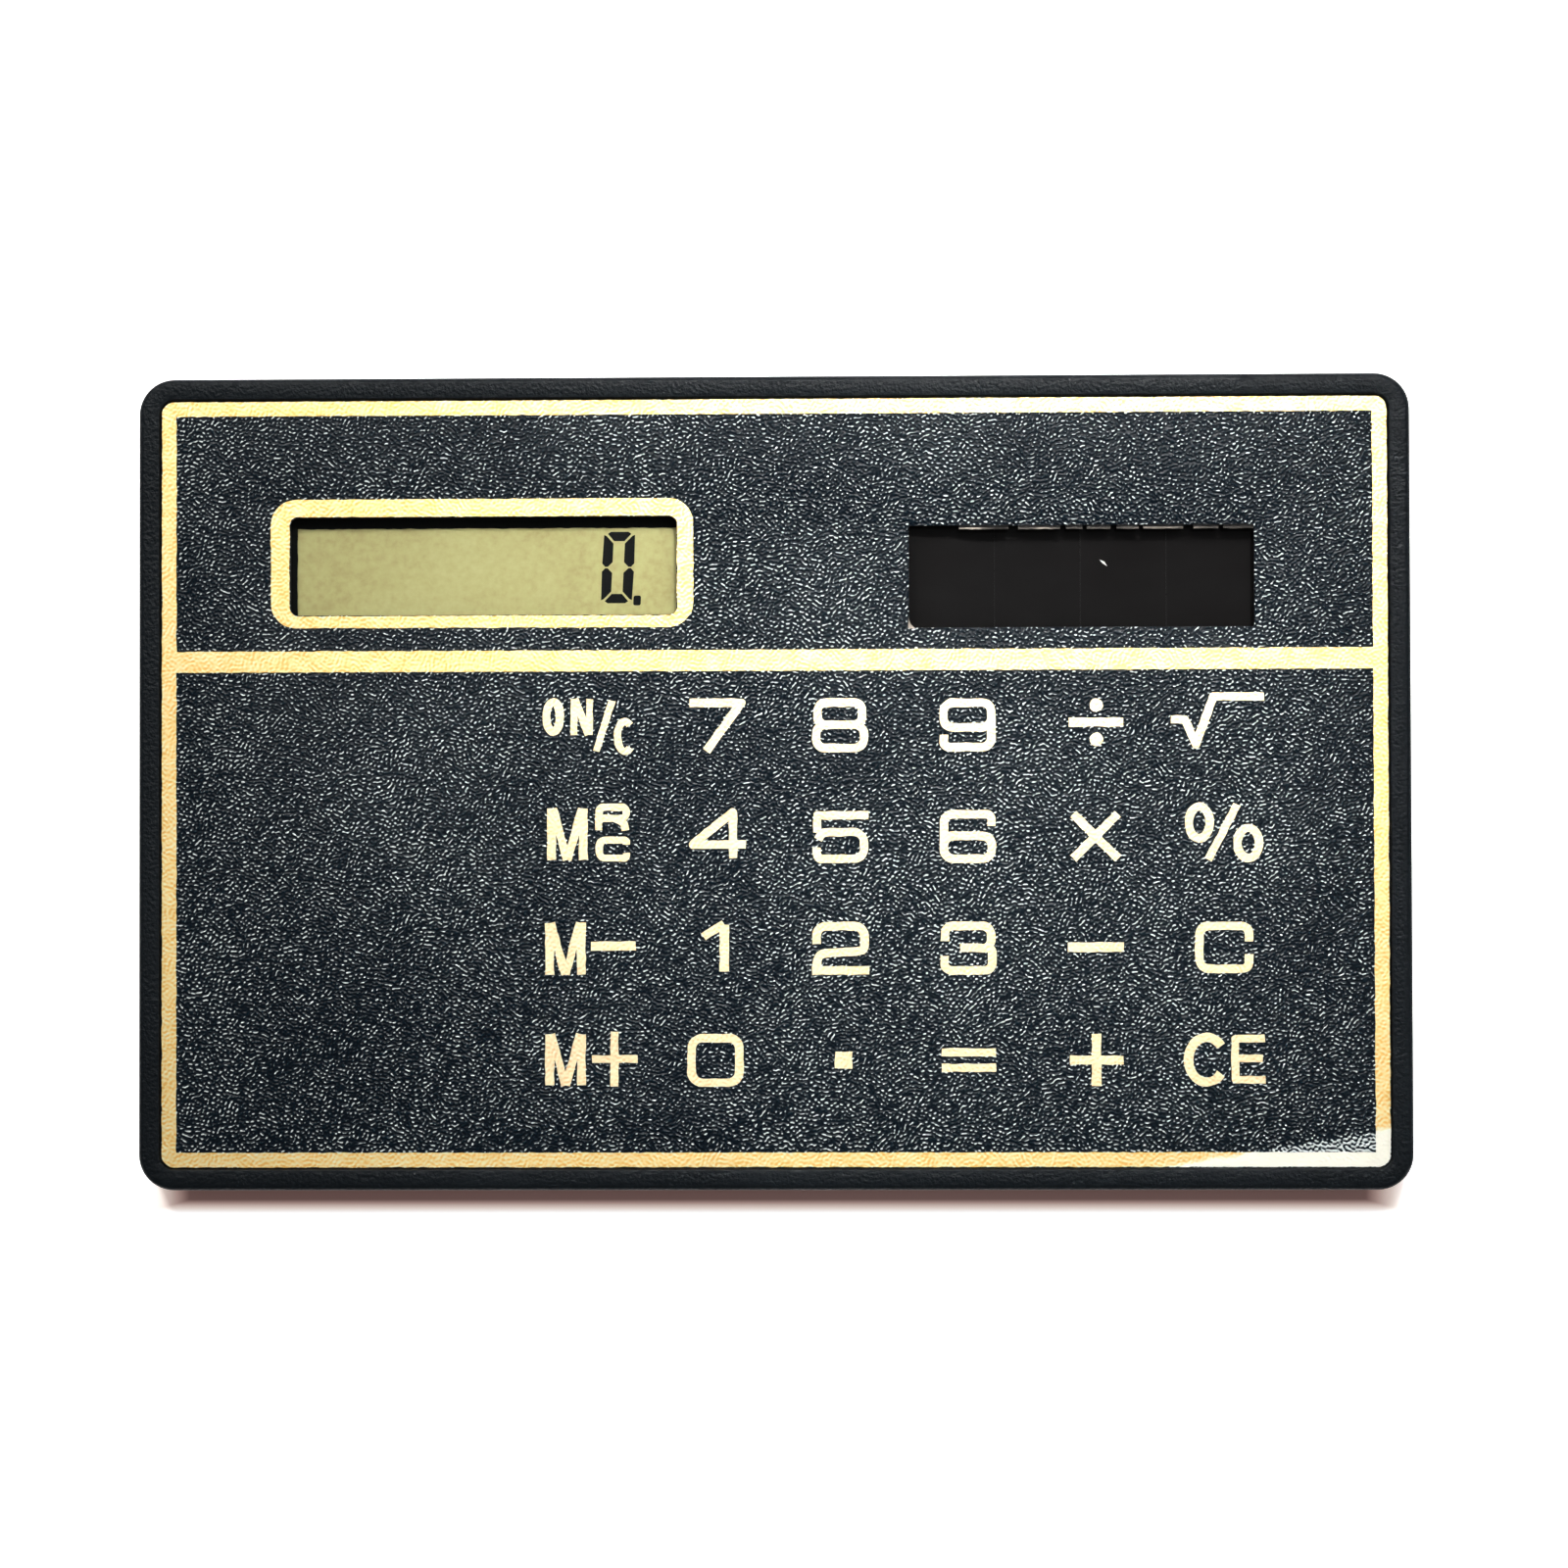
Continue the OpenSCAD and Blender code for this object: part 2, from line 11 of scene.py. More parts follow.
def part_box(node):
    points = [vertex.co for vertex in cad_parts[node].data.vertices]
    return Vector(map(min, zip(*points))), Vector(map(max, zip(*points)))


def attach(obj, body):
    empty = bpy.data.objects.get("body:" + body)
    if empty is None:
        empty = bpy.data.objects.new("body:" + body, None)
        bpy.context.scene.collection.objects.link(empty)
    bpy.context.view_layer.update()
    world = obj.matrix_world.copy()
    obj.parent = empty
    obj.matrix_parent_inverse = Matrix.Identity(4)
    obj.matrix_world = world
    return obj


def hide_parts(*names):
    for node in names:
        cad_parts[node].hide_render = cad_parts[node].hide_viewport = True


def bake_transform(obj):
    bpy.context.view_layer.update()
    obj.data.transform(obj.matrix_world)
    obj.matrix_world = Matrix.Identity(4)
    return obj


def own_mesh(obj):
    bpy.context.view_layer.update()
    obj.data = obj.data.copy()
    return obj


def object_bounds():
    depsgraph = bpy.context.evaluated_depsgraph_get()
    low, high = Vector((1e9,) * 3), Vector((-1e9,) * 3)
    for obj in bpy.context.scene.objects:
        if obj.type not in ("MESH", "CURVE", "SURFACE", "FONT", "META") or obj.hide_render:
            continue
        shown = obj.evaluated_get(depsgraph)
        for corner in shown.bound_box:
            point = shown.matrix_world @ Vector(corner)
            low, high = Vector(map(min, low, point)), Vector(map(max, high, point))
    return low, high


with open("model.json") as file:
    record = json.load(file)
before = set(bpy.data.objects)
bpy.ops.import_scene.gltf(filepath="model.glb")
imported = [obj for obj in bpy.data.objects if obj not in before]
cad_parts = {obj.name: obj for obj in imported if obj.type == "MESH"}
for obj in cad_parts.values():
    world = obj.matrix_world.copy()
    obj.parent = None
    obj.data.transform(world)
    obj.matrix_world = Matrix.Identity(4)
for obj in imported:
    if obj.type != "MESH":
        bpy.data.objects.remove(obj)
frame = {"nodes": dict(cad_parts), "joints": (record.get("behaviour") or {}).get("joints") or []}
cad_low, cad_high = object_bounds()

# Table, lamp and camera -----------------------------------------------------------------------
# The calculator lies on a plain white board that glows softly. In a band below its near edge the
# board's emission is cut and its colour tinted pinkish brown: a painted contact shadow. A lamp stands
# beyond its far left corner, three weaker ones light its far side, its face and its right side, and
# the camera looks almost straight down.
MM = 0.001
scene = bpy.context.scene
scene.view_settings.view_transform = "Standard"
scene.view_settings.gamma = 0.85


def new_finish(name, colour, roughness, **fixed):
    """A material whose shader has these values; each fixed value is a socket's name with _ for a space."""
    finish = bpy.data.materials.new(name)
    finish.use_nodes = True
    shader = finish.node_tree.nodes["Principled BSDF"]
    shader.inputs["Base Color"].default_value = (*colour, 1)
    shader.inputs["Roughness"].default_value = roughness
    for socket, value in fixed.items():
        shader.inputs[socket.replace("_", " ")].default_value = value
    return finish


def link(finish, value, socket):
    """Feeds a node's output into a socket of the finish's shader."""
    shader = finish.node_tree.nodes["Principled BSDF"]
    finish.node_tree.links.new(value, shader.inputs[socket])


def node(finish, kind, inputs, output, **settings):
    """Adds a shader node, sets or links its inputs, and returns one of its outputs."""
    made = finish.node_tree.nodes.new("ShaderNode" + kind)
    for name, value in settings.items():
        setattr(made, name, value)
    for socket, value in inputs.items():
        if isinstance(value, bpy.types.NodeSocket):
            finish.node_tree.links.new(value, made.inputs[socket])
        else:
            made.inputs[socket].default_value = value
    return made.outputs[output]


def place(finish, stretch=(1, 1, 1)):
    """The point's place in millimetres, stretched along each axis."""
    inputs = {"Vector": node(finish, "TexCoord", {}, "Object"), "Scale": tuple(s / MM for s in stretch)}
    return node(finish, "Mapping", inputs, "Vector")


def coordinate(finish, axis):
    """The point's place along one axis in millimetres: 0 is X, 1 is Y and 2 is Z."""
    return node(finish, "SeparateXYZ", {0: place(finish)}, axis)


def noise(finish, per_mm, detail=2.0, where=None):
    """Soft noise from 0 to 1 with so many waves to a millimetre."""
    where = place(finish) if where is None else where
    inputs = {"Vector": where, "Scale": per_mm, "Detail": detail}
    return node(finish, "TexNoise", inputs, 0)


def sum_up(finish, operation, first, second):
    """One step of arithmetic on two values."""
    return node(finish, "Math", {0: first, 1: second}, 0, operation=operation)


def weighed(finish, first, share, second, rest):
    """Two values, each taken by its share, and added."""
    return sum_up(finish, "ADD", sum_up(finish, "MULTIPLY", first, share),
                  sum_up(finish, "MULTIPLY", second, rest))


def spread(finish, value, low, high, to_low, to_high):
    """Maps the range low to high on to_low to to_high, and stops at its ends."""
    inputs = {"Value": value, "From Min": low, "From Max": high, "To Min": to_low, "To Max": to_high}
    return node(finish, "MapRange", inputs, 0)


def colours(finish, value, *stops):
    """A run of colours along a value; each stop is a position and a colour."""
    output = node(finish, "ValToRGB", {0: value}, 0)
    elements = output.node.color_ramp.elements
    for _ in stops[2:]:
        elements.new(0.5)
    for element, (position, colour) in zip(elements, stops):
        element.position = position
        element.color = (*colour, 1)
    return output


def tint(finish, value, *stops):
    """Colours the finish along a value."""
    link(finish, colours(finish, value, *stops), "Base Color")


def gloss(finish, value, low, high, to_low, to_high):
    """Varies the finish's roughness with a value."""
    link(finish, spread(finish, value, low, high, to_low, to_high), "Roughness")


def relief(finish, height, depth):
    """Gives the finish a surface relief so many millimetres deep."""
    normal = node(finish, "Bump", {"Height": height, "Distance": depth * MM, "Strength": 1.0}, 0)
    link(finish, normal, "Normal")


TABLE_GLOW = 0.8
PAINTED_SHADE_GLOW = 0.05
PAINTED_SHADE_W = 0.95
PAINTED_SHADE_FADE = 0.95
PAINTED_SHADE_ENDS = (40, 43.5)
PATCH_GLOW = 0.04
table_finish = new_finish("table_board", (0.93, 0.93, 0.93), 0.8)
off_middle = sum_up(table_finish, "ABSOLUTE", coordinate(table_finish, 0), 0.0)
up_table = coordinate(table_finish, 1)
# Painted contact shadow: below the near edge, and under the calculator, the board's emission falls from full
# to almost none and its emission colour turns pinkish; it stays full to the sides.
painted_shade_edge = -cad_high.y / MM - PAINTED_SHADE_W
glow_and_painted_shade = spread(table_finish, up_table, painted_shade_edge - PAINTED_SHADE_FADE, painted_shade_edge, TABLE_GLOW, PAINTED_SHADE_GLOW)
glow_and_painted_shade = sum_up(table_finish, "MAXIMUM", glow_and_painted_shade, spread(table_finish, up_table, 0, 1, 0, TABLE_GLOW))
glow_and_painted_shade = sum_up(table_finish, "MAXIMUM", glow_and_painted_shade, spread(table_finish, off_middle, *PAINTED_SHADE_ENDS, 0, TABLE_GLOW))
link(table_finish, glow_and_painted_shade, "Emission Strength")
link(table_finish, colours(table_finish, glow_and_painted_shade, (PAINTED_SHADE_GLOW, (1, 0.5, 0.4)),
                           (TABLE_GLOW * 0.6, (1, 0.82, 0.72)), (TABLE_GLOW * 0.98, (1, 1, 1))),
     "Emission Color")
patches = spread(table_finish, noise(table_finish, 0.02), 0.3, 0.7, 0, PATCH_GLOW)
tone = sum_up(table_finish, "ADD", glow_and_painted_shade, patches)
# Painted shadow colour: the board's own colour turns brown where its emission is cut.
tint(table_finish, tone, (PAINTED_SHADE_GLOW, (0.5, 0.32, 0.3)), (TABLE_GLOW * 0.5, (0.9, 0.86, 0.84)),
     (TABLE_GLOW, (0.92, 0.92, 0.92)), (TABLE_GLOW + PATCH_GLOW, (0.95, 0.95, 0.95)))
TABLE_HALF = 8
table_mesh = bpy.data.meshes.new("table")
table_mesh.from_pydata([(-TABLE_HALF, -TABLE_HALF, 0), (TABLE_HALF, -TABLE_HALF, 0),
                        (TABLE_HALF, TABLE_HALF, 0), (-TABLE_HALF, TABLE_HALF, 0)], [], [(0, 1, 2, 3)])
table_mesh.materials.append(table_finish)
table = bpy.data.objects.new("table", table_mesh)
scene.collection.objects.link(table)

world = bpy.data.worlds.new("studio")
world.use_nodes = True
world.node_tree.nodes["Background"].inputs["Color"].default_value = (0.97, 0.98, 1, 1)
world.node_tree.nodes["Background"].inputs["Strength"].default_value = 0.28
scene.world = world


def add_lamp(name, azimuth, elevation, distance, size, power, colour=(1, 1, 1), cone=180, aim=(0, 0)):
    """A square lamp that faces a point on the table; azimuth runs clockwise from +Y, in degrees."""
    lamp = bpy.data.lights.new(name, "AREA")
    lamp.shape = "RECTANGLE"
    lamp.size, lamp.size_y = size
    lamp.energy = power
    lamp.color = colour
    lamp.spread = math.radians(cone)
    piece = bpy.data.objects.new(name, lamp)
    around, up = math.radians(azimuth), math.radians(elevation)
    away = Vector((math.sin(around) * math.cos(up), math.cos(around) * math.cos(up), math.sin(up)))
    piece.location = away * distance + Vector((aim[0] * MM, aim[1] * MM, 0))
    piece.rotation_euler = away.to_track_quat("Z", "Y").to_euler()
    scene.collection.objects.link(piece)


add_lamp("main_lamp", -29, 51, 0.5, (0.06, 0.06), 1.26, (1, 0.985, 0.96))
add_lamp("far_panel", 24, 56, 0.2, (0.09, 0.09), 0.16)
add_lamp("face_lamp", 12, 60, 0.4, (0.05, 0.05), 0.019, (1, 1, 0.98), cone=18, aim=(12, 3))
add_lamp("side_panel", 100, 48, 0.6, (0.3, 0.3), 0.22, (0.96, 0.98, 1))

camera_data = bpy.data.cameras.new("camera")
camera_data.sensor_width = 36
camera_data.lens = 83.8
camera_data.clip_start = 0.01
camera_data.clip_end = 30
camera = bpy.data.objects.new("camera", camera_data)
camera.location = (0.0066, -0.0051, 0.25)
camera.rotation_euler = (math.radians(1.155), math.radians(1.361), math.radians(-0.152))
scene.collection.objects.link(camera)
scene.camera = camera

# Case frame -----------------------------------------------------------------------------------
# One moulding in charcoal plastic: the rim that shows, a ledge inside it for the face plate, and a
# seat below for the rear cover. Its edges are rounded by the tool, and its skin is faintly grained.
BODY = "body"
CORNER_STEPS = 12
EDGE_STEPS = 6
MERGE = 1e-8
SHARP_ANGLE = math.radians(34)
BODY_R = 2.4
RIM_W = 1.43
LEDGE_W = 1.5
TOP_ROUND = 0.38
RIM_INNER_ROUND = 0.1
BASE_ROUND = 0.5
COVER_SEAT = 0.55


def cad_box(name):
    """Lowest and highest corner of a CAD node, in millimetres."""
    low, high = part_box(name)
    return low / MM, high / MM


def arc(centre, radius, start, end, steps=EDGE_STEPS):
    """Points along an arc, with both ends; the angles are in degrees."""
    angles = [math.radians(start + (end - start) * step / steps) for step in range(steps + 1)]
    return [(centre[0] + radius * math.cos(a), centre[1] + radius * math.sin(a)) for a in angles]


def rounded(half_w, half_d, radius=0.0, centre=(0, 0), steps=CORNER_STEPS):
    """The points of a rounded rectangle, anticlockwise."""
    radius = max(radius, 0)
    points = []
    for quarter, (sx, sy) in enumerate([(1, 1), (-1, 1), (-1, -1), (1, -1)]):
        middle = (centre[0] + sx * (half_w - radius), centre[1] + sy * (half_d - radius))
        if radius > 0:
            points += arc(middle, radius, 90 * quarter, 90 * quarter + 90, steps)
        else:
            points += [middle] * (steps + 1)
    return points


def wall(shape, loops, closed=False):
    """Joins each loop of points to the next; closed joins the last to the first."""
    rows = [[shape.verts.new((x * MM, y * MM, z * MM)) for x, y, z in loop] for loop in loops]
    for below, above in zip(rows, rows[1:] + rows[:1] if closed else rows[1:]):
        for i in range(len(below)):
            j = (i + 1) % len(below)
            shape.faces.new((below[i], below[j], above[j], above[i]))


def skirt(shape, half_w, half_d, radius, centre, section, closed=False, steps=CORNER_STEPS):
    """A wall round a rounded rectangle, from its section of insets and heights; returns its loops."""
    loops = [rounded(half_w - inset, half_d - inset, radius - inset, centre, steps) for inset, _ in section]
    wall(shape, [lifted(loop, z) for loop, (_, z) in zip(loops, section)], closed)
    return loops


def fill(shape, outline, holes, z, facing_up):
    """A flat face at height z inside an outline, with holes."""
    loops = [clean(outline)] + [clean(hole) for hole in holes]
    points = [Vector(p) for loop in loops for p in loop]
    faces, start = [], 0
    for loop in loops:
        faces.append(list(range(start, start + len(loop))))
        start += len(loop)
    made, _, triangles, _, _, sources = delaunay_2d_cdt(points, [], faces, 0, 1e-6)
    corners = [shape.verts.new((p[0] * MM, p[1] * MM, z * MM)) for p in made]
    for triangle, source in zip(triangles, sources):
        if source and set(source) == {0}:
            order = triangle if facing_up else triangle[::-1]
            shape.faces.new([corners[i] for i in order])


def clean(points):
    """The loop without points that lie on the one before."""
    return [p for i, p in enumerate(points) if math.dist(p, points[i - 1]) > 1e-6]


def lifted(points, z):
    """Flat points at height z."""
    return [(x, y, z) for x, y in points]


def finished(shape, name, *finishes, flat=False):
    """Closes the shape's seams and makes it a piece; a flat piece's faces point outwards already."""
    if not flat:
        bmesh.ops.remove_doubles(shape, verts=shape.verts, dist=MERGE)
        bmesh.ops.dissolve_degenerate(shape, edges=shape.edges, dist=MERGE)
        bmesh.ops.recalc_face_normals(shape, faces=shape.faces)
    mesh = bpy.data.meshes.new(name)
    shape.to_mesh(mesh)
    shape.free()
    if not flat:
        mesh.shade_smooth()
        mesh.set_sharp_from_angle(angle=SHARP_ANGLE)
    for finish in finishes:
        mesh.materials.append(finish)
    piece = bpy.data.objects.new(name, mesh)
    scene.collection.objects.link(piece)
    return piece


def moulded(name, dark, light, roughness, grains_per_mm, depth, **fixed):
    """Plastic or rubber from a mould: slightly uneven colour and gloss, and a fine grain."""
    finish = new_finish(name, dark, roughness, **fixed)
    patches = noise(finish, 0.12, 4)
    grain = noise(finish, grains_per_mm, 3)
    tint(finish, patches, (0.3, dark), (0.7, light))
    gloss(finish, grain, 0.3, 0.7, roughness * 0.88, roughness * 1.12)
    relief(finish, grain, depth)
    return finish


frame_low, frame_high = cad_box("case_frame")
rim_top = frame_high.z
ledge_z = cad_box("lcd_tape")[1].z

frame_section = (
    arc((BASE_ROUND, frame_low.z + BASE_ROUND), BASE_ROUND, 270, 180)
    + arc((TOP_ROUND, rim_top - TOP_ROUND), TOP_ROUND, 180, 90)
    + arc((RIM_W - RIM_INNER_ROUND, rim_top - RIM_INNER_ROUND), RIM_INNER_ROUND, 90, 0, 3)
    + [(RIM_W, ledge_z), (RIM_W + LEDGE_W, ledge_z), (RIM_W + LEDGE_W, COVER_SEAT),
       (RIM_W, COVER_SEAT), (RIM_W, frame_low.z)]
)
frame_plastic = moulded("frame_plastic", (0.003, 0.0056, 0.008), (0.0058, 0.009, 0.0118), 0.42, 4, 0.08,
                        Specular_IOR_Level=0.2)
shape = bmesh.new()
skirt(shape, frame_high.x, frame_high.y, BODY_R, (0, 0), frame_section, closed=True)
case_frame = finished(shape, "case_frame_moulding", frame_plastic)
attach(case_frame, BODY)
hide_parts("case_frame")

# Face plate -----------------------------------------------------------------------------------
# A stiff charcoal moulding that lies on the frame's ledge. It has a hole for each key, a window for
# the display and one for the solar cell, and it keeps its shape from the CAD model.
plate_plastic = moulded("plate_plastic", (0.006, 0.007, 0.008), (0.01, 0.011, 0.012), 0.6, 6, 0.01)


def give(finish, *names):
    """Gives CAD nodes a finish."""
    for name in names:
        part = frame["nodes"][name]
        if not part.material_slots:
            part.data.materials.append(finish)
        for slot in part.material_slots:
            slot.material = finish


give(plate_plastic, "face_plate")

# Film adhesive --------------------------------------------------------------------------------
# A cut sheet of amber transfer adhesive between the face plate and the film. Only its cut edge can
# be seen, inside the two windows.
adhesive = moulded("adhesive", (0.22, 0.12, 0.055), (0.3, 0.17, 0.08), 0.35, 2, 0.01)
give(adhesive, "film_adhesive")

# Face film ------------------------------------------------------------------------------------
# One sheet of dark vinyl covers the whole face. It is embossed with a fine leather grain of short
# wavy ridges, and it is cut through only at the display and the solar cell. A frame of film around
# each key, the part that bends when a key is pressed, is left out here: the keys' section makes it
# as flat strips.
KEY_HALF_W = 3.2
KEY_HALF_D = 2.3
FLEX_W = 0.35
FILM_R = 0.9
FILM_EDGE = 0.06
WINDOW_EDGE = 0.05
DISPLAY_W = 26.2
DISPLAY_D = 6.64
DISPLAY_R = 0.5
SOLAR_W = 23.26
SOLAR_D = 6.88
SOLAR_R = 0.12

key_joints = {joint["child"]: joint["name"] for joint in frame["joints"]}
key_bodies = list(key_joints)


def middle(name):
    """The middle of a CAD node, seen from above, in millimetres."""
    low, high = cad_box(name)
    return (low.x + high.x) / 2, (low.y + high.y) / 2


key_places = {body: middle(body.removesuffix("_body")) for body in key_bodies}
display_x, display_y = middle("lcd_front_polariser")
solar_x, solar_y = middle("solar_glass")
face_low, face_high = cad_box("face_film")
film_z, face_z = face_low.z, face_high.z
film_half_w, film_half_d = face_high.x, face_high.y


def grain_height(finish):
    """The leather grain: short wavy ridges mostly along X, from 0 in the creases to 1, and a slow drift."""
    drift = noise(finish, 0.1, 2)
    lean = spread(finish, noise(finish, 0.3, 1), 0.25, 0.75, -0.4, 0.8)
    lean = sum_up(finish, "ADD", lean, math.radians(90))
    ridges = node(finish, "TexGabor", {"Vector": place(finish), "Scale": 1.95, "Frequency": 1.75,
                                       "Anisotropy": 0.36, "Orientation": lean}, 0, gabor_type="2D")
    return ridges, drift


# The film is creased across its near right corner; below the crease the film and its gold are painted
# paler, a painted reflection of the bent corner.
CREASE_SLOPE = 0.17
CREASE_AT = 30.44
CREASE_EDGE = 0.43
CREASE_WAVE = 0.35


def painted_crease_sheen(finish):
    """1 below the crease, where the painted reflection lies, and 0 above it."""
    slope = sum_up(finish, "MULTIPLY", coordinate(finish, 0), CREASE_SLOPE)
    reach = sum_up(finish, "SUBTRACT", slope, coordinate(finish, 1))
    wave = sum_up(finish, "MULTIPLY", noise(finish, 0.9, 2), CREASE_WAVE)
    return spread(finish, sum_up(finish, "ADD", reach, wave), CREASE_AT, CREASE_AT + CREASE_EDGE, 0, 1)


film_finish = new_finish("face_film_grained", (0.012, 0.015, 0.017), 0.3, Specular_IOR_Level=0.22)
height, drift = grain_height(film_finish)
tone = sum_up(film_finish, "ADD", height, spread(film_finish, drift, 0.3, 0.7, -0.025, 0.025))
# Painted reflection: the film is painted paler below the crease across its near right corner.
tone = sum_up(film_finish, "ADD", tone, sum_up(film_finish, "MULTIPLY", painted_crease_sheen(film_finish), 0.17))
# Painted light: the grain's ridge tops are painted pale grey as a painted glint, and its creases near black
# as painted shade, over the film's dark navy.
tint(film_finish, tone, (0.525, (0.0002, 0.004, 0.009)), (0.612, (0.003, 0.014, 0.022)),
     (0.712, (0.63, 0.67, 0.665)))
gloss(film_finish, height, 0.4, 0.7, 0.36, 0.22)
relief(film_finish, height, 0.17)


def opening_wall(shape, half_w, half_d, radius, centre, edge):
    """The wall of an opening through the film, with its upper edge rounded; returns its two outlines."""
    section = [(0, film_z)] + [(x - edge, z) for x, z in arc((0, face_z - edge), edge, 0, 90, 4)]
    loops = skirt(shape, half_w, half_d, radius, centre, section)
    return loops[0], loops[-1]


# The film's cut walls have no grain: they show its plain dark core.
UPRIGHT = 0.6
film_cut = moulded("film_cut_edge", (0.006, 0.006, 0.007), (0.014, 0.012, 0.012), 0.6, 3, 0.01,
                   Specular_IOR_Level=0.2)
windows = [(DISPLAY_W / 2, DISPLAY_D / 2, DISPLAY_R, (display_x, display_y)),
           (SOLAR_W / 2, SOLAR_D / 2, SOLAR_R, (solar_x, solar_y))]
shape = bmesh.new()
section = [(0, film_z)] + [(FILM_EDGE - x, z) for x, z in arc((0, face_z - FILM_EDGE), FILM_EDGE, 0, 90, 4)]
outer = skirt(shape, film_half_w, film_half_d, FILM_R, (0, 0), section)
holes = [opening_wall(shape, *window, WINDOW_EDGE) for window in windows]
for centre in key_places.values():
    hole = rounded(KEY_HALF_W + FLEX_W, KEY_HALF_D + FLEX_W, 0, centre, 1)
    wall(shape, [lifted(clean(hole), film_z), lifted(clean(hole), face_z)])
    holes.append((hole, hole))
fill(shape, outer[0], [low for low, _ in holes], film_z, False)
fill(shape, outer[-1], [high for _, high in holes], face_z, True)
face_film = finished(shape, "face_film_sheet", film_finish, film_cut)
for face in face_film.data.polygons:
    if abs(face.normal.z) < UPRIGHT:
        face.material_index = 1
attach(face_film, BODY)
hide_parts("face_film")

# Keys -----------------------------------------------------------------------------------------
# Each key is a zone of the film with a plunger bonded under it, and a flange that keeps the plunger
# in the face plate. The film round the zone, which bends when a key is pressed, is made as four flat
# strips mitred at the corners; they stay still and do not move with the key.
PLUNGER_ROUND = 0.12
PLUNGER_GAP = 0.1
PLUNGER_R = 0.5
FLANGE_T = 0.4
FLANGE_LIP = 0.6
FLEX_STEPS = 10
plunger_plastic = moulded("plunger_plastic", (0.45, 0.46, 0.46), (0.52, 0.53, 0.53), 0.5, 5, 0.008)


def add_block(shape, half_w, half_d, radius, centre, z0, z1, edge):
    """A closed block with rounded corners and rounded lower and upper edges."""
    section = arc((edge, z0 + edge), edge, 270, 180, 4) + arc((edge, z1 - edge), edge, 180, 90, 4)
    if edge == 0:
        section = [(0, z0), (0, z1)]
    loops = skirt(shape, half_w, half_d, radius, centre, section, steps=4)
    fill(shape, loops[0], [], section[0][1], False)
    fill(shape, loops[-1], [], section[-1][1], True)


def flex_strip(name, centre, across, along):
    """One flat strip of the film round a key; across points out of the key, and along follows its edge."""
    reach = KEY_HALF_W if across[0] else KEY_HALF_D
    length = KEY_HALF_D if across[0] else KEY_HALF_W
    shape = bmesh.new()
    rows = []
    for step in range(FLEX_STEPS + 1):
        out = FLEX_W * step / FLEX_STEPS
        for z in (film_z, face_z):
            ends = []
            for side in (-1, 1):
                x = centre[0] + across[0] * (reach + out) + along[0] * side * (length + out)
                y = centre[1] + across[1] * (reach + out) + along[1] * side * (length + out)
                ends.append(shape.verts.new((x * MM, y * MM, z * MM)))
            rows.append(ends)
    for step in range(FLEX_STEPS):
        low, high, next_low, next_high = rows[2 * step:2 * step + 4]
        for a, b in ((low, next_low), (high, next_high)):
            shape.faces.new((a[0], a[1], b[1], b[0]))
        for side in (0, 1):
            shape.faces.new((low[side], next_low[side], next_high[side], high[side]))
    for low, high in (rows[:2], rows[-2:]):
        shape.faces.new((low[0], low[1], high[1], high[0]))
    piece = finished(shape, name, film_finish)
    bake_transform(piece)


for body, centre in key_places.items():
    key = body.removesuffix("_body")
    key_low = cad_box(key)[0]
    shape = bmesh.new()
    add_block(shape, KEY_HALF_W, KEY_HALF_D, 0, centre, film_z, face_z, 0)
    film_faces = len(shape.faces)
    add_block(shape, KEY_HALF_W - PLUNGER_GAP, KEY_HALF_D - PLUNGER_GAP, PLUNGER_R, centre,
              key_low.z + FLANGE_T, film_z, 0)
    add_block(shape, KEY_HALF_W + FLANGE_LIP, KEY_HALF_D + FLANGE_LIP, PLUNGER_R, centre,
              key_low.z, key_low.z + FLANGE_T, PLUNGER_ROUND)
    shape.faces.ensure_lookup_table()
    for face in shape.faces[film_faces:]:
        face.material_index = 1
    piece = finished(shape, key + "_zone", film_finish, plunger_plastic)
    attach(piece, body)
    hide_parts(key)
    for name, across, along in (("right", (1, 0), (0, 1)), ("left", (-1, 0), (0, 1)),
                                ("far", (0, 1), (1, 0)), ("near", (0, -1), (1, 0))):
        flex_strip(f"{key}_flex_{name}", centre, across, along)

# Gold border ----------------------------------------------------------------------------------
# Gold foil is pressed hot on to the grained film: a border along the film's edge, a bar between the
# display and the keys, and a surround for the display. The grain shows through it.
FOIL_T = 0.015
BORDER_W = 1.04
BORDER_IN = 0.05
BAR_Y0 = 7.55
BAR_Y1 = 8.98
SURROUND = (-34.03, 10.54, -5.35, 19.28)
SURROUND_R = 1.7
TEAR_STEP = 0.22
TEARS_PER_MM = 1.9
TEAR_REACH = 0.05
foil_z = face_z + FOIL_T


def gold_foil(name, *stops):
    """Gold foil on the grain; the stops run from its deepest colour to the painted reflection below the
    crease.
    """
    finish = new_finish(name, (0.9, 0.72, 0.34), 0.42, Metallic=0.7, Specular_IOR_Level=0.5)
    height, _ = grain_height(finish)
    tone = weighed(finish, height, 0.68, noise(finish, 1.1, 3), 0.32)
    # Painted reflection: the foil is painted paler below the crease.
    tone = sum_up(finish, "ADD", tone, sum_up(finish, "MULTIPLY", painted_crease_sheen(finish), 0.6))
    tint(finish, tone, *stops)
    gloss(finish, height, 0.2, 0.8, 0.5, 0.4)
    relief(finish, height, 0.012)
    return finish


gold = gold_foil("gold_foil", (0.36, (0.88, 0.55, 0.17)), (0.47, (0.94, 0.71, 0.31)),
                 (0.64, (0.96, 0.86, 0.55)), (0.86, (1.0, 0.98, 0.86)))


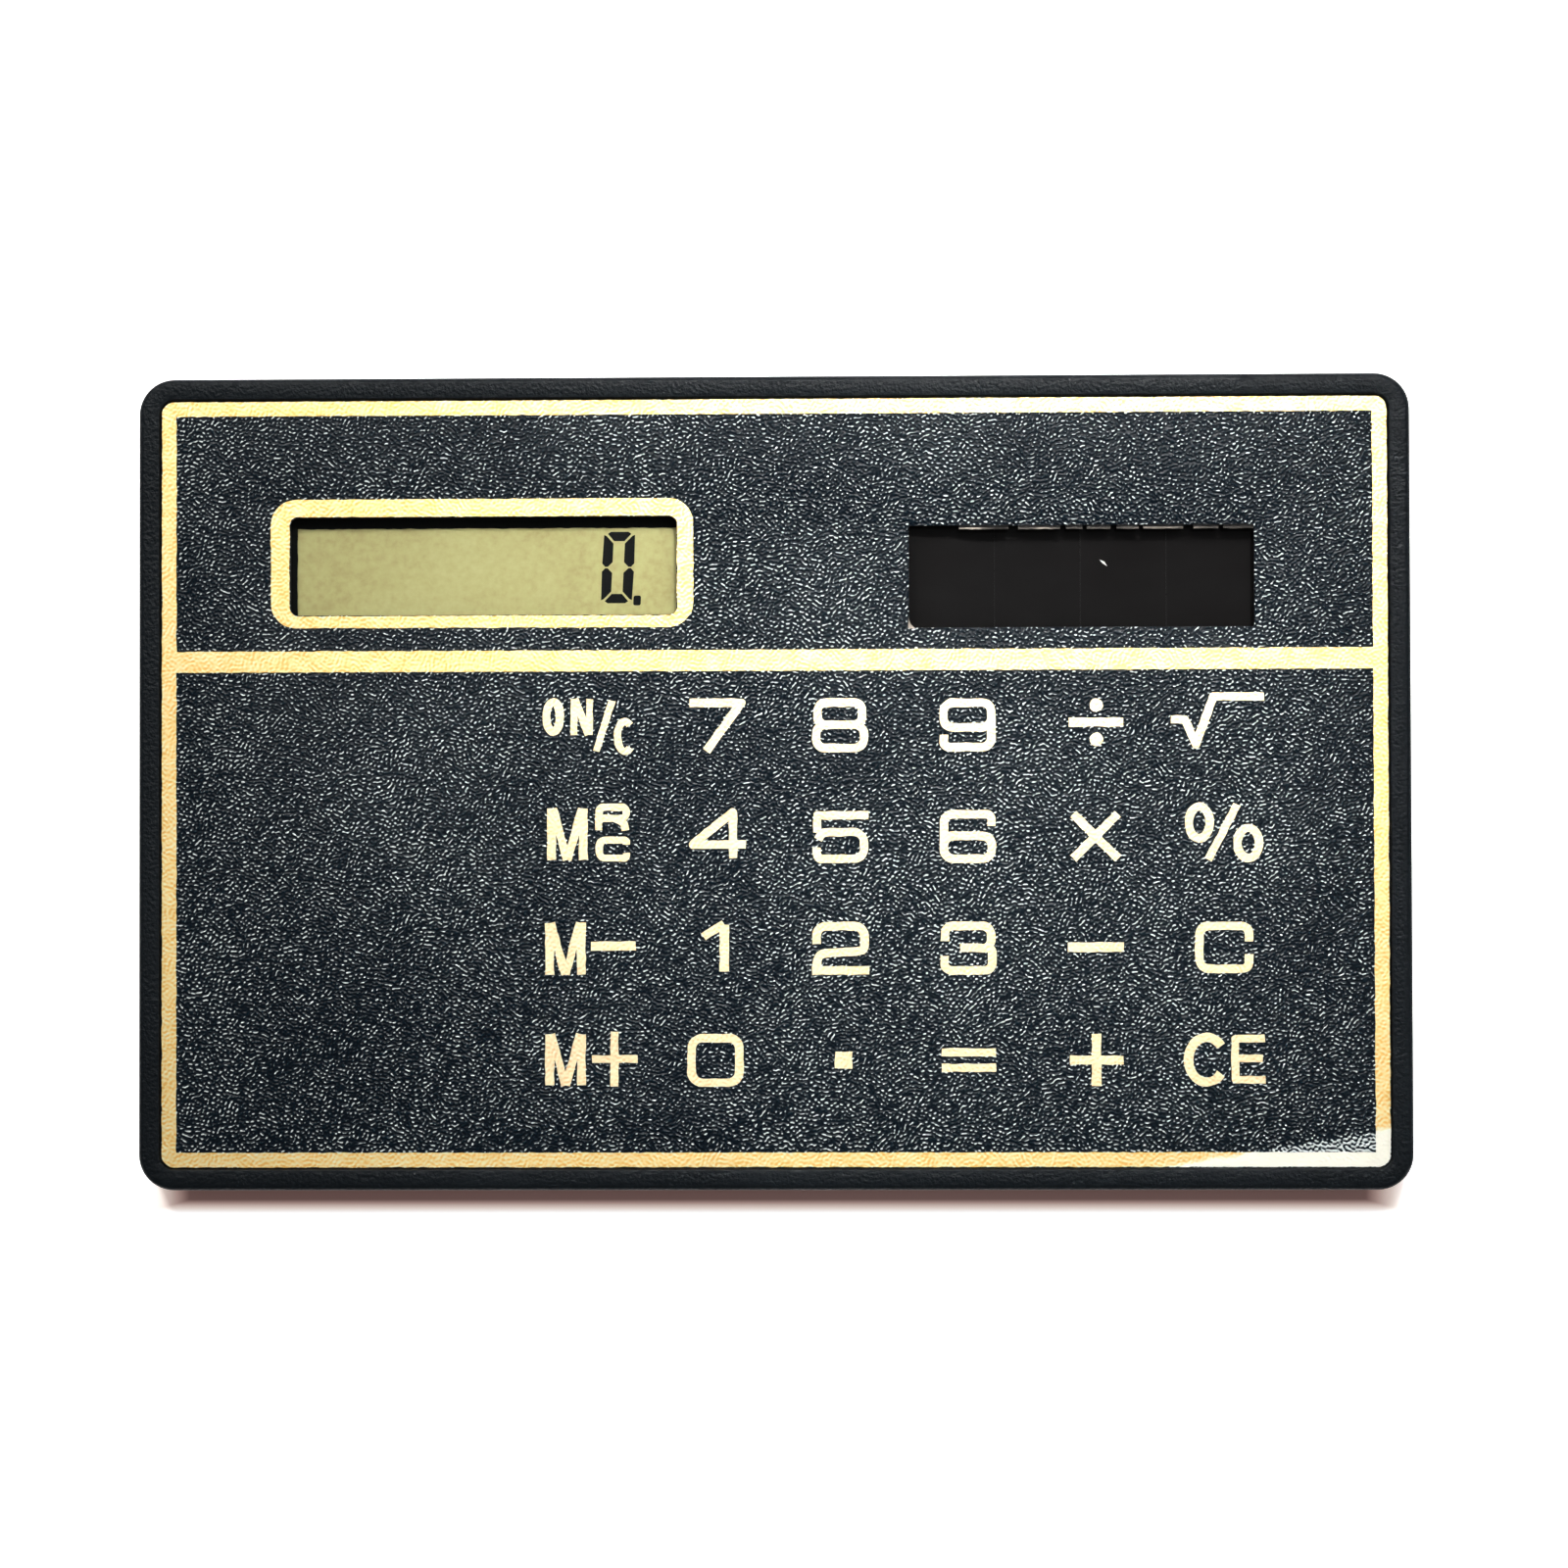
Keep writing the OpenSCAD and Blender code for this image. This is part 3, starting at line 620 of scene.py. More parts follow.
def ragged(outline):
    """The outline as the foil tears off along the grain: a little uneven everywhere."""
    points = []
    for a, b in zip(outline, outline[1:] + outline[:1]):
        a, b = Vector(a), Vector(b)
        steps = max(1, round((b - a).length / TEAR_STEP))
        for k in range(steps):
            point = a.lerp(b, k / steps)
            pull = noise_vector((point * TEARS_PER_MM).to_3d()) * TEAR_REACH
            points.append((point.x + pull.x, point.y + pull.y))
    return points


def foil(name, outline, holes, finish, z0, z1):
    """A closed flat piece of foil inside an outline, with holes."""
    outline = ragged(outline)
    holes = [ragged(hole) for hole in holes]
    shape = bmesh.new()
    for loop in [outline] + holes:
        wall(shape, [lifted(clean(loop), z0), lifted(clean(loop), z1)])
    fill(shape, outline, holes, z0, False)
    fill(shape, outline, holes, z1, True)
    return finished(shape, name, finish)


inner_w = film_half_w - BORDER_W
inner_d = film_half_d - BORDER_W


def rectangle(x0, y0, x1, y1, radius=0.0):
    """The outline of a rectangle between two corners."""
    return rounded((x1 - x0) / 2, (y1 - y0) / 2, radius, ((x0 + x1) / 2, (y0 + y1) / 2))


border = foil(
    "gold_border",
    rounded(film_half_w - BORDER_IN, film_half_d - BORDER_IN, FILM_R - BORDER_IN),
    [rectangle(-inner_w, BAR_Y1, inner_w, inner_d), rectangle(-inner_w, -inner_d, inner_w, BAR_Y0)],
    gold, face_z, foil_z)
surround = foil(
    "gold_display_surround",
    rectangle(*SURROUND, SURROUND_R),
    [rounded(DISPLAY_W / 2 + WINDOW_EDGE, DISPLAY_D / 2 + WINDOW_EDGE, DISPLAY_R + WINDOW_EDGE,
             (display_x, display_y))],
    gold, face_z, foil_z)
for piece in (border, surround):
    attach(piece, BODY)

# Legends --------------------------------------------------------------------------------------
# The legends are pressed in a paler gold foil. The numerals are wide and square with rounded
# corners, and every stroke keeps its width. Each legend is drawn as the path of a pen, in
# millimetres from the middle of its key.
LINE = 0.58
THIN = 0.53
BEND = 0.62
NUM_W = 1.61
NUM_H = 1.5
SHARP_TURN = math.radians(40)
legend_gold = gold_foil("gold_legend", (0.36, (0.9, 0.66, 0.36)), (0.47, (0.94, 0.79, 0.51)),
                        (0.64, (0.97, 0.88, 0.63)), (0.86, (1.0, 0.98, 0.88)))
PRINT_SHIFT = {"key_7": 0.22, "key_4": 0.22, "key_1": 0.22, "key_0": 0.18}


def pen(*points, width=LINE, bend=0.0, closed=False):
    """A pen stroke through some points, with its corners bent to a radius."""
    if not bend:
        return list(points), width, closed
    path = []
    count = len(points)
    for i, corner in enumerate(points):
        if not closed and i in (0, count - 1):
            path.append(corner)
            continue
        back = Vector(points[i - 1]) - Vector(corner)
        on = Vector(points[(i + 1) % count]) - Vector(corner)
        half_angle = back.angle(on) / 2
        reach = min(bend / math.tan(half_angle), back.length * 0.5, on.length * 0.5)
        radius = reach * math.tan(half_angle)
        bisector = (back.normalized() + on.normalized()).normalized()
        centre = Vector(corner) + bisector * (radius / math.sin(half_angle))
        first = Vector(corner) + back.normalized() * reach - centre
        turn = first.angle_signed(Vector(corner) + on.normalized() * reach - centre)
        for step in range(7):
            angle = math.atan2(first.y, first.x) - turn * step / 6
            path.append((centre.x + radius * math.cos(angle), centre.y + radius * math.sin(angle)))
    return path, width, closed


def ring(x0, y0, x1, y1, width=LINE, bend=BEND):
    """A closed stroke around a rectangle with rounded corners."""
    return pen((x0, y0), (x1, y0), (x1, y1), (x0, y1), width=width, bend=bend, closed=True)


def sweep(x, y, half_w, half_h, start=0.0, end=360.0, width=LINE):
    """A stroke along an ellipse; a whole turn closes it."""
    whole = end - start >= 360
    steps = 32
    angles = [math.radians(start + (end - start) * i / steps) for i in range(steps if whole else steps + 1)]
    return [(x + half_w * math.cos(a), y + half_h * math.sin(a)) for a in angles], width, whole


def letter_m(x, y, half_w=1.07, half_h=1.75):
    """A bold M whose middle reaches the foot of the letter."""
    return [pen((x - half_w, y - half_h), (x - half_w, y + half_h), width=0.6),
            pen((x + half_w, y - half_h), (x + half_w, y + half_h), width=0.6),
            pen((x - half_w + 0.1, y + half_h), (x - 0.02, y - half_h), width=0.54),
            pen((x + half_w - 0.1, y + half_h), (x + 0.02, y - half_h), width=0.54)]


legends = {
    "key_on_c": [
        sweep(-2.2, 0.64, 0.46, 1.0, width=0.56),
        pen((-0.8, -0.6), (-0.8, 1.85), width=0.46), pen((0.26, -0.6), (0.26, 1.85), width=0.46),
        pen((-0.74, 1.85), (0.2, -0.6), width=0.5),
        pen((1.78, 1.72), (0.7, -1.72), width=0.48),
        sweep(2.66, -0.7, 0.5, 1.02, 48, 312, width=0.5),
    ],
    "key_7": [pen((-1.74, 1.55), (1.74, 1.55), (-0.6, -1.7))],
    "key_8": [ring(-1.5, 0.04, 1.5, 1.54, bend=0.55), ring(-NUM_W, -1.54, NUM_W, 0.04, bend=BEND)],
    "key_9": [ring(-NUM_W, -0.16, NUM_W, NUM_H, bend=BEND),
              pen((NUM_W, 0.6), (NUM_W, -NUM_H), (-NUM_W, -NUM_H), (-NUM_W, -0.66), bend=BEND)],
    "key_divide": [pen((-1.78, 0.16), (1.88, 0.16), width=0.61), sweep(0.08, 1.3, 0.24, 0.24, width=0.45),
                   sweep(0.08, -1.0, 0.24, 0.24, width=0.45)],
    "key_root": [pen((-3.5, 0.32), (-2.55, 0.32), (-1.82, -1.35), (-0.62, 1.86), (2.78, 1.86), width=0.56)],
    "key_mrc": letter_m(-1.25, 0.22) + [
        pen((0.88, 0.5), (0.88, 2.05), (2.72, 2.05), (2.72, 1.3), (0.88, 1.3), width=0.5, bend=0.3),
        pen((1.9, 1.3), (2.6, 0.95), (2.68, 0.45), width=0.5),
        pen((2.75, -0.5), (2.75, -0.18), (0.9, -0.18), (0.9, -1.4), (2.75, -1.4), (2.75, -1.05),
            width=0.5, bend=0.42)],
    "key_4": [pen((1.18, -1.42), (1.18, 1.68), (-1.55, -0.5), (2.05, -0.5), width=0.57)],
    "key_5": [pen((1.92, 1.46), (-1.55, 1.46), (-1.55, 0.3), width=0.56),
              pen((-1.5, -0.18), (-1.2, 0.32), (NUM_W, 0.32), (NUM_W, -1.48), (-1.6, -1.48), (-1.6, -0.72),
                  width=0.56, bend=0.7)],
    "key_6": [ring(-NUM_W, -NUM_H, NUM_W, 0.04, bend=BEND),
              pen((-NUM_W, -0.7), (-NUM_W, NUM_H), (NUM_W, NUM_H), (NUM_W, 0.7), bend=BEND)],
    "key_multiply": [pen((-1.5, 1.5), (1.5, -1.5), width=0.6), pen((-1.5, -1.5), (1.5, 1.5), width=0.6)],
    "key_percent": [sweep(-1.62, 0.9, 0.7, 1.07, width=0.57), sweep(1.66, -0.5, 0.72, 1.02, width=0.57),
                    pen((0.92, 2.1), (-1.02, -1.6), width=0.52)],
    "key_m_minus": letter_m(-1.4, 0.02) + [pen((0.34, 0.2), (3.36, 0.2), width=0.63)],
    "key_1": [pen((0.58, -1.55), (0.58, 1.62), width=0.64), pen((-0.85, 0.8), (0.58, 1.68), width=0.56)],
    "key_2": [pen((-NUM_W, 0.28), (-NUM_W, NUM_H), (NUM_W, NUM_H), (NUM_W, -0.1), (1.1, -0.2), (-1.5, -0.34),
                  (-NUM_W, -1.3), width=0.58, bend=0.66),
              pen((-1.92, -1.48), (1.92, -1.48), width=0.58)],
    "key_3": [pen((-1.55, 0.48), (-1.55, NUM_H), (1.55, NUM_H), (1.55, 0.02), (-0.56, 0.02), bend=0.55),
              pen((1.0, 0.02), (NUM_W, 0.02), (NUM_W, -NUM_H), (-1.6, -NUM_H), (-1.6, -0.5), bend=0.5)],
    "key_minus": [pen((-1.88, 0.05), (1.88, 0.05), width=0.66)],
    "key_c": [pen((1.68, 0.42), (1.68, 1.47), (-1.66, 1.47), (-1.66, -1.42), (1.68, -1.42), (1.68, -0.42),
                  width=0.58, bend=0.68)],
    "key_m_plus": letter_m(-1.4, 0.05, half_h=1.72) + [
        pen((0.38, 0.1), (3.44, 0.1), width=THIN), pen((1.91, -1.78), (1.91, 1.95), width=0.56)],
    "key_0": [ring(-NUM_W, -NUM_H, NUM_W, NUM_H, bend=0.7)],
    "key_point": [pen((-0.4, 0.0), (0.76, 0.0), width=1.14)],
    "key_equals": [pen((-1.83, 0.52), (1.83, 0.52), width=0.55),
                   pen((-1.83, -0.52), (1.83, -0.52), width=0.55)],
    "key_plus": [pen((-1.8, -0.02), (1.8, -0.02), width=0.6), pen((0, -1.78), (0, 1.75), width=0.64)],
    "key_ce": [sweep(-1.2, 0.0, 1.22, 1.5, 38, 322, width=0.62),
               pen((2.72, 1.42), (0.72, 1.42), (0.72, -1.34), (2.76, -1.34), width=0.52),
               pen((0.72, 0.08), (2.55, 0.08), width=0.5)],
}


def stroke_shapes(path, width, closed):
    """The quads of a stroke, and a disc at each corner that is too sharp for a mitre."""
    points = [Vector(p) for p in path]
    count = len(points)
    spans = [(points[i], points[(i + 1) % count]) for i in range(count if closed else count - 1)]
    sides = [(b - a).normalized().orthogonal() * (width / 2) for a, b in spans]
    shapes = []
    for i, (a, b) in enumerate(spans):
        ends = []
        for end, j in ((a, i - 1), (b, i + 1)):
            joined = closed or 0 <= j < len(spans)
            other = sides[j % len(spans)] if joined else sides[i]
            if sides[i].angle(other) < SHARP_TURN:
                mitre = (sides[i] + other).normalized()
                ends.append(mitre * (width / 2) / math.cos(sides[i].angle(other) / 2))
            else:
                ends.append(sides[i])
                shapes.append([(end.x + x, end.y + y) for x, y in arc((0, 0), width / 2, 0, 345, 23)])
        outer_a, inner_a, inner_b, outer_b = a + ends[0], a - ends[0], b - ends[1], b + ends[1]
        if (inner_b - inner_a).dot(b - a) < 0:
            inner_a, inner_b = inner_b, inner_a
        if (outer_b - outer_a).dot(b - a) < 0:
            outer_a, outer_b = outer_b, outer_a
        shapes.append([(p.x, p.y) for p in (outer_a, inner_a, inner_b, outer_b)])
    return shapes


def turned_left(points):
    """The same outline, anticlockwise."""
    area = sum(p[0] * q[1] - q[0] * p[1] for p, q in zip(points, points[1:] + points[:1]))
    return points if area > 0 else points[::-1]


def joined_foil(name, outlines, finish, z0, z1):
    """One closed flat piece made of outlines that overlap or touch."""
    outlines = [turned_left(clean(outline)) for outline in outlines]
    points = [Vector(p) for outline in outlines for p in outline]
    faces, start = [], 0
    for outline in outlines:
        faces.append(list(range(start, start + len(outline))))
        start += len(outline)
    made, _, triangles, _, _, sources = delaunay_2d_cdt(points, [], faces, 0, 1e-5)
    shape = bmesh.new()
    low = [shape.verts.new((p[0] * MM, p[1] * MM, z0 * MM)) for p in made]
    high = [shape.verts.new((p[0] * MM, p[1] * MM, z1 * MM)) for p in made]
    kept = [triangle for triangle, source in zip(triangles, sources) if source]
    directed = {(t[i], t[(i + 1) % 3]) for t in kept for i in range(3)}
    for a, b, c in kept:
        shape.faces.new((high[a], high[b], high[c]))
        shape.faces.new((low[c], low[b], low[a]))
    for a, b in sorted(directed):
        if (b, a) not in directed:
            shape.faces.new((low[a], low[b], high[b], high[a]))
    loose = [v for v in shape.verts if not v.link_faces]
    bmesh.ops.delete(shape, geom=loose, context="VERTS")
    return finished(shape, name, finish, flat=True)


for key, strokes in legends.items():
    body = key + "_body"
    x, y = key_places[body]
    x += PRINT_SHIFT.get(key, 0.05)
    outlines = [ragged([(px + x, py + y) for px, py in outline])
                for stroke in strokes for outline in stroke_shapes(*stroke)]
    piece = joined_foil(key + "_legend", outlines, legend_gold, face_z, foil_z)
    centre_x = key_places[body][0]
    right = max(px for outline in outlines for px, _ in outline) - centre_x
    left = min(px for outline in outlines for px, _ in outline) - centre_x
    if max(right, -left) > KEY_HALF_W:
        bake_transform(piece)
    else:
        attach(piece, body)

# Solar cell -----------------------------------------------------------------------------------
# Amorphous silicon on the back of a glass plate, almost black from the front. The laser cuts that part
# it into four cells show as hair lines. White tape holds it behind its window. Where the die cut the
# film a burr was left along the window's far edge, painted pale where it hangs into the window: a
# painted highlight of the light the edge catches. A pale chip lies at one corner.
CELL_CUTS = 3
CUT_W = 0.06
CUT_T = 0.012
BURR_W = 0.26
BURR_RUNS = [(3.4, 3.3), (7.4, 2.8), (10.6, 1.1), (12.0, 1.6),
             (14.0, 1.5), (15.8, 2.7), (19.2, 1.7), (21.2, 2.0)]

cell_glass = new_finish("solar_glass", (0.005, 0.005, 0.006), 0.14, Specular_IOR_Level=0.22)
glass_streaks = noise(cell_glass, 0.25, 3, where=place(cell_glass, (0.4, 1, 1)))
tint(cell_glass, glass_streaks, (0.3, (0.009, 0.008, 0.008)), (0.7, (0.012, 0.0115, 0.0115)))
gloss(cell_glass, noise(cell_glass, 0.7, 4), 0.4, 0.7, 0.1, 0.2)
relief(cell_glass, noise(cell_glass, 0.15, 2), 0.004)
silicon_film = moulded("solar_film", (0.05, 0.022, 0.018), (0.075, 0.035, 0.026), 0.4, 3, 0.002)
tape = moulded("tape", (0.68, 0.68, 0.64), (0.8, 0.8, 0.76), 0.6, 7, 0.012)
cut_line = moulded("cell_cut", (0.003, 0.003, 0.003), (0.005, 0.0045, 0.0045), 0.3, 2, 0.002,
                   Specular_IOR_Level=0.2)
give(cell_glass, "solar_glass")
give(silicon_film, "solar_film")
give(tape, "solar_tape", "lcd_tape")


def row_tree():
    """A tree that sets bars in a row, and the row at each point of a grid."""
    tree = bpy.data.node_groups.new("bars_in_rows", "GeometryNodeTree")
    sockets = [("Columns", "Int"), ("Rows", "Int"), ("Field Width", "Float"), ("Field Depth", "Float"),
               ("Centre", "Vector"), ("Bars", "Int"), ("First Bar", "Vector"), ("Bar Step", "Vector"),
               ("Bar Size", "Vector"), ("Finish", "Material")]
    for name, kind in sockets:
        tree.interface.new_socket(name, in_out="INPUT", socket_type="NodeSocket" + kind)
    tree.interface.new_socket("Geometry", in_out="OUTPUT", socket_type="NodeSocketGeometry")
    given = tree.nodes.new("NodeGroupInput").outputs
    result = tree.nodes.new("NodeGroupOutput")

    def step(kind, **inputs):
        made = tree.nodes.new("GeometryNode" + kind)
        for socket, source in inputs.items():
            tree.links.new(source, made.inputs[socket.replace("_", " ")])
        return made

    bar = step("MeshCube", Size=given["Bar Size"])
    line = step("MeshLine", Count=given["Bars"], Start_Location=given["First Bar"], Offset=given["Bar Step"])
    row = step("InstanceOnPoints", Points=line.outputs[0], Instance=bar.outputs[0])
    grid = step("MeshGrid", Size_X=given["Field Width"], Size_Y=given["Field Depth"],
                Vertices_X=given["Columns"], Vertices_Y=given["Rows"])
    moved = step("Transform", Geometry=grid.outputs[0], Translation=given["Centre"])
    rows = step("InstanceOnPoints", Points=moved.outputs[0], Instance=row.outputs[0])
    solid = step("RealizeInstances", Geometry=rows.outputs[0])
    painted = step("SetMaterial", Geometry=solid.outputs[0], Material=given["Finish"])
    tree.links.new(painted.outputs[0], result.inputs[0])
    return tree


bars_in_rows = row_tree()


def bars(name, finish, centre, count, step, size, columns=1, rows=1, field=(0, 0)):
    """Bars in a row about the centre, or such a row at each point of a grid; sizes in millimetres."""
    holder = bpy.data.objects.new(name + "_maker", bpy.data.meshes.new(name + "_maker"))
    scene.collection.objects.link(holder)
    modifier = holder.modifiers.new("rows", "NODES")
    modifier.node_group = bars_in_rows
    first = [-(count - 1) / 2 * s for s in step]
    values = {"Columns": columns, "Rows": rows, "Field Width": field[0] * MM, "Field Depth": field[1] * MM,
              "Centre": [v * MM for v in centre], "Bars": count, "First Bar": [v * MM for v in first],
              "Bar Step": [v * MM for v in step], "Bar Size": [v * MM for v in size], "Finish": finish}
    for socket in bars_in_rows.interface.items_tree:
        if socket.in_out == "INPUT":
            modifier[socket.identifier] = values[socket.name]
    bpy.context.view_layer.update()
    mesh = bpy.data.meshes.new_from_object(holder.evaluated_get(bpy.context.evaluated_depsgraph_get()))
    bpy.data.objects.remove(holder)
    mesh.name = name
    piece = bpy.data.objects.new(name, mesh)
    scene.collection.objects.link(piece)
    return piece


cell_high = cad_box("solar_glass")[1]
cuts = bars("solar_cell_cuts", cut_line, (solar_x, solar_y, cell_high.z + CUT_T / 2), CELL_CUTS,
            (SOLAR_W / (CELL_CUTS + 1), 0, 0), (CUT_W, SOLAR_D + 1, CUT_T))
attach(cuts, BODY)

window_left = solar_x - SOLAR_W / 2
window_far = solar_y + SOLAR_D / 2
window_near = solar_y - SOLAR_D / 2
burr_painted_highlight_finish = new_finish("vinyl_burr_painted_highlight", (0.3, 0.27, 0.24), 0.5, Specular_IOR_Level=0.08)
up_film = coordinate(burr_painted_highlight_finish, 1)
# Painted highlight: the burr is pale, with noise, where it hangs into the window and dark where it lies on
# the film; near the window's near edge the chip is pale.
lip = spread(burr_painted_highlight_finish, up_film, window_far - BURR_W * 0.5, window_far - BURR_W * 0.38, 0.7, 0.0)
highlight_and_chip = sum_up(burr_painted_highlight_finish, "MULTIPLY", lip, noise(burr_painted_highlight_finish, 0.45, 3))
chipped = spread(burr_painted_highlight_finish, up_film, window_near, window_near + 2, 0.5, 0)
highlight_and_chip = sum_up(burr_painted_highlight_finish, "MAXIMUM", highlight_and_chip, chipped)
tint(burr_painted_highlight_finish, highlight_and_chip, (0.2, (0.009, 0.0085, 0.0085)), (0.38, (0.11, 0.1, 0.09)),
     (0.52, (0.5, 0.44, 0.38)))
relief(burr_painted_highlight_finish, noise(burr_painted_highlight_finish, 4, 2), 0.03)
burr_shapes = []
for start, length in BURR_RUNS:
    x0, x1 = window_left + start, window_left + start + length
    burr_shapes.append(ragged([(x0, window_far + 0.03), (x0, window_far - BURR_W),
                               (x1, window_far - BURR_W), (x1, window_far + 0.03)]))
burr_shapes.append([(window_left - 0.06, window_near - 0.06), (window_left + 0.42, window_near - 0.06),
                    (window_left + 0.12, window_near + 0.22), (window_left - 0.06, window_near + 0.75)])
glass_chip = moulded("glass_chip", (0.6, 0.6, 0.57), (0.8, 0.8, 0.76), 0.4, 6, 0.01)
scratch_x, scratch_y = window_left + 13.2, window_far - 2.45
scratch_shape = [(scratch_x + x, scratch_y + y)
                 for x, y in ((-0.26, 0.2), (-0.06, -0.04), (0.26, -0.24), (0.06, 0.08))]
scratch = joined_foil("solar_glass_scratch", [scratch_shape], glass_chip, cell_high.z, cell_high.z + CUT_T)
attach(scratch, BODY)
burr = joined_foil("solar_window_burr", burr_shapes, burr_painted_highlight_finish, face_z - 0.12, face_z + 0.01)
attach(burr, BODY)

# Display --------------------------------------------------------------------------------------
# A liquid crystal between two glasses with a polariser on each side; the rear one carries a pale
# reflector that gives the olive-grey ground. The figure shown is a nought and a point. A strip of
# striped rubber joins the glass's ledge to the circuit board.
DIGIT_T = 0.012
DIGIT_W = 2.18
DIGIT_H = 4.86
DIGIT_LINE = 0.7
DIGIT_GAP = 0.1
DIGIT_SLANT = 0.05
DIGIT_PLACE = (-11.74, 12.25)
POINT = (-9.5, 12.1)
POINT_W = 0.5
POINT_H = 0.66

ground = new_finish("polariser", (0.5, 0.475, 0.2), 0.38, Specular_IOR_Level=0.25)
speckle = weighed(ground, noise(ground, 2.4, 3), 0.5, noise(ground, 0.12, 3), 0.5)
tint(ground, speckle, (0.3, (0.318, 0.281, 0.128)), (0.5, (0.378, 0.358, 0.168)),
     (0.7, (0.413, 0.406, 0.2)))
gloss(ground, noise(ground, 3, 2), 0.3, 0.7, 0.34, 0.42)
relief(ground, noise(ground, 5, 2), 0.001)
reflector = moulded("reflector", (0.4, 0.39, 0.25), (0.48, 0.47, 0.3), 0.3, 8, 0.004, Metallic=0.3)
# The segments' black also colours the painted shadow at the window's far and left edges.
segment = moulded("lcd_segment_and_painted_shadow", (0.004, 0.005, 0.005), (0.007, 0.008, 0.007), 0.6, 6, 0.001,
                  Specular_IOR_Level=0.12)
seal = moulded("seal", (0.55, 0.53, 0.42), (0.66, 0.64, 0.52), 0.4, 3, 0.01)
clear_glass = new_finish("clear_glass", (0.86, 0.91, 0.89), 0.03, Transmission_Weight=0.9, IOR=1.52)
gloss(clear_glass, noise(clear_glass, 0.3, 4), 0.45, 0.7, 0.02, 0.08)
relief(clear_glass, noise(clear_glass, 0.1, 2), 0.003)
zebra = new_finish("zebra_rubber", (0.5, 0.3, 0.3), 0.6)
stripes = node(zebra, "TexWave", {"Vector": place(zebra), "Scale": 1.6, "Distortion": 0.0}, 1,
               bands_direction="X")
tint(zebra, stripes, (0.42, (0.03, 0.03, 0.03)), (0.58, (0.58, 0.33, 0.34)))
gloss(zebra, noise(zebra, 2), 0.3, 0.7, 0.55, 0.7)
relief(zebra, stripes, 0.01)
give(ground, "lcd_front_polariser")
give(reflector, "lcd_rear_polariser")
give(clear_glass, "lcd_front_glass", "lcd_rear_glass")
give(seal, "lcd_seal")
give(zebra, "zebra_strip")


# A near-black sheet lies on the display's ground along the far and left edges of the window: a
# painted shadow of the window's far and left walls.
SHADOW_FAR = 0.66
SHADOW_LEFT = 0.3
SHADOW_OVER = 0.5
SHADOW_T = 0.008
ground_high = cad_box("lcd_front_polariser")[1]
left_edge = display_x - DISPLAY_W / 2
far_edge = display_y + DISPLAY_D / 2
near_edge = display_y - DISPLAY_D / 2
right_edge = display_x + DISPLAY_W / 2
painted_shadow_outline = [
    (left_edge - SHADOW_OVER, near_edge - SHADOW_OVER), (left_edge + SHADOW_LEFT, near_edge - SHADOW_OVER),
    (left_edge + SHADOW_LEFT, far_edge - SHADOW_FAR), (right_edge + SHADOW_OVER, far_edge - SHADOW_FAR),
    (right_edge + SHADOW_OVER, far_edge + SHADOW_OVER), (left_edge - SHADOW_OVER, far_edge + SHADOW_OVER),
]
# Painted shadow: the near-black sheet along the window's far and left edges, in the segments' black.
painted_shadow_sheet = foil("lcd_painted_shadow", painted_shadow_outline, [], segment, ground_high.z, ground_high.z + SHADOW_T)
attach(painted_shadow_sheet, BODY)


def nought_segments():
    """The six lit segments of a seven-segment nought, before it is slanted."""
    w, h, t, g = DIGIT_W, DIGIT_H, DIGIT_LINE, DIGIT_GAP
    low_left = [(0.04, t * 0.3), (t * 0.3, t * 0.4), (t, t + g), (t, h / 2 - g / 2 - t * 0.45),
                (t * 0.55, h / 2 - g / 2), (t * 0.3, h / 2 - g / 2), (0, h / 2 - t * 0.4)]
    foot = [(t * 0.42, t * 0.2), (t * 0.7, 0), (w - t * 0.7, 0), (w - t * 0.42, t * 0.2),
            (w - t - g * 0.4, t * 0.9), (t + g * 0.4, t * 0.9)]
    shapes = [low_left, [(w - x, y) for x, y in low_left], [(x, h - y) for x, y in low_left],
              [(w - x, h - y) for x, y in low_left], foot, [(x, h - y) for x, y in foot]]
    return shapes


figure = [[(DIGIT_PLACE[0] + x + DIGIT_SLANT * y, DIGIT_PLACE[1] + y) for x, y in outline]
          for outline in nought_segments()]
figure.append([(POINT[0] + x + DIGIT_SLANT * y, POINT[1] + y)
               for x, y in rounded(POINT_W / 2, POINT_H / 2, 0.12, (POINT_W / 2, POINT_H / 2), 3)])
digits = joined_foil("lcd_figure", figure, segment, ground_high.z, ground_high.z + DIGIT_T)
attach(digits, BODY)

# Key mat --------------------------------------------------------------------------------------
# One silicone moulding lies on the board: a sheet with a hollow dome under each key. A boss hangs in
# each dome with a carbon pill on its end. The domes stay still, though a pressed key folds the real
# dome's wall; the boss and the pill go straight down with the key.
SHEET_T = 0.4
DOME_FOOT_R = 3.0
DOME_TOP_R = 2.2
DOME_WALL = 0.4
PILL_TOP_Z = 1.6
PILL_R = 1.4
COMB_T = 0.02
COMB_GAP = 0.004
PIN_HOLE_R = 0.6
ROUND_STEPS = 32

mat_low, mat_high = cad_box("key_mat")
pill_low = cad_box("contact_pills")[0]
sheet_top = mat_low.z + SHEET_T
silicone = moulded("silicone", (0.4, 0.42, 0.43), (0.47, 0.49, 0.5), 0.55, 4, 0.006)
carbon = moulded("carbon", (0.012, 0.012, 0.012), (0.022, 0.022, 0.022), 0.8, 9, 0.01)


def circle(radius, centre, steps=ROUND_STEPS):
    """The points of a circle, anticlockwise."""
    return [(centre[0] + radius * math.cos(a), centre[1] + radius * math.sin(a))
            for a in (math.tau * i / steps for i in range(steps))]


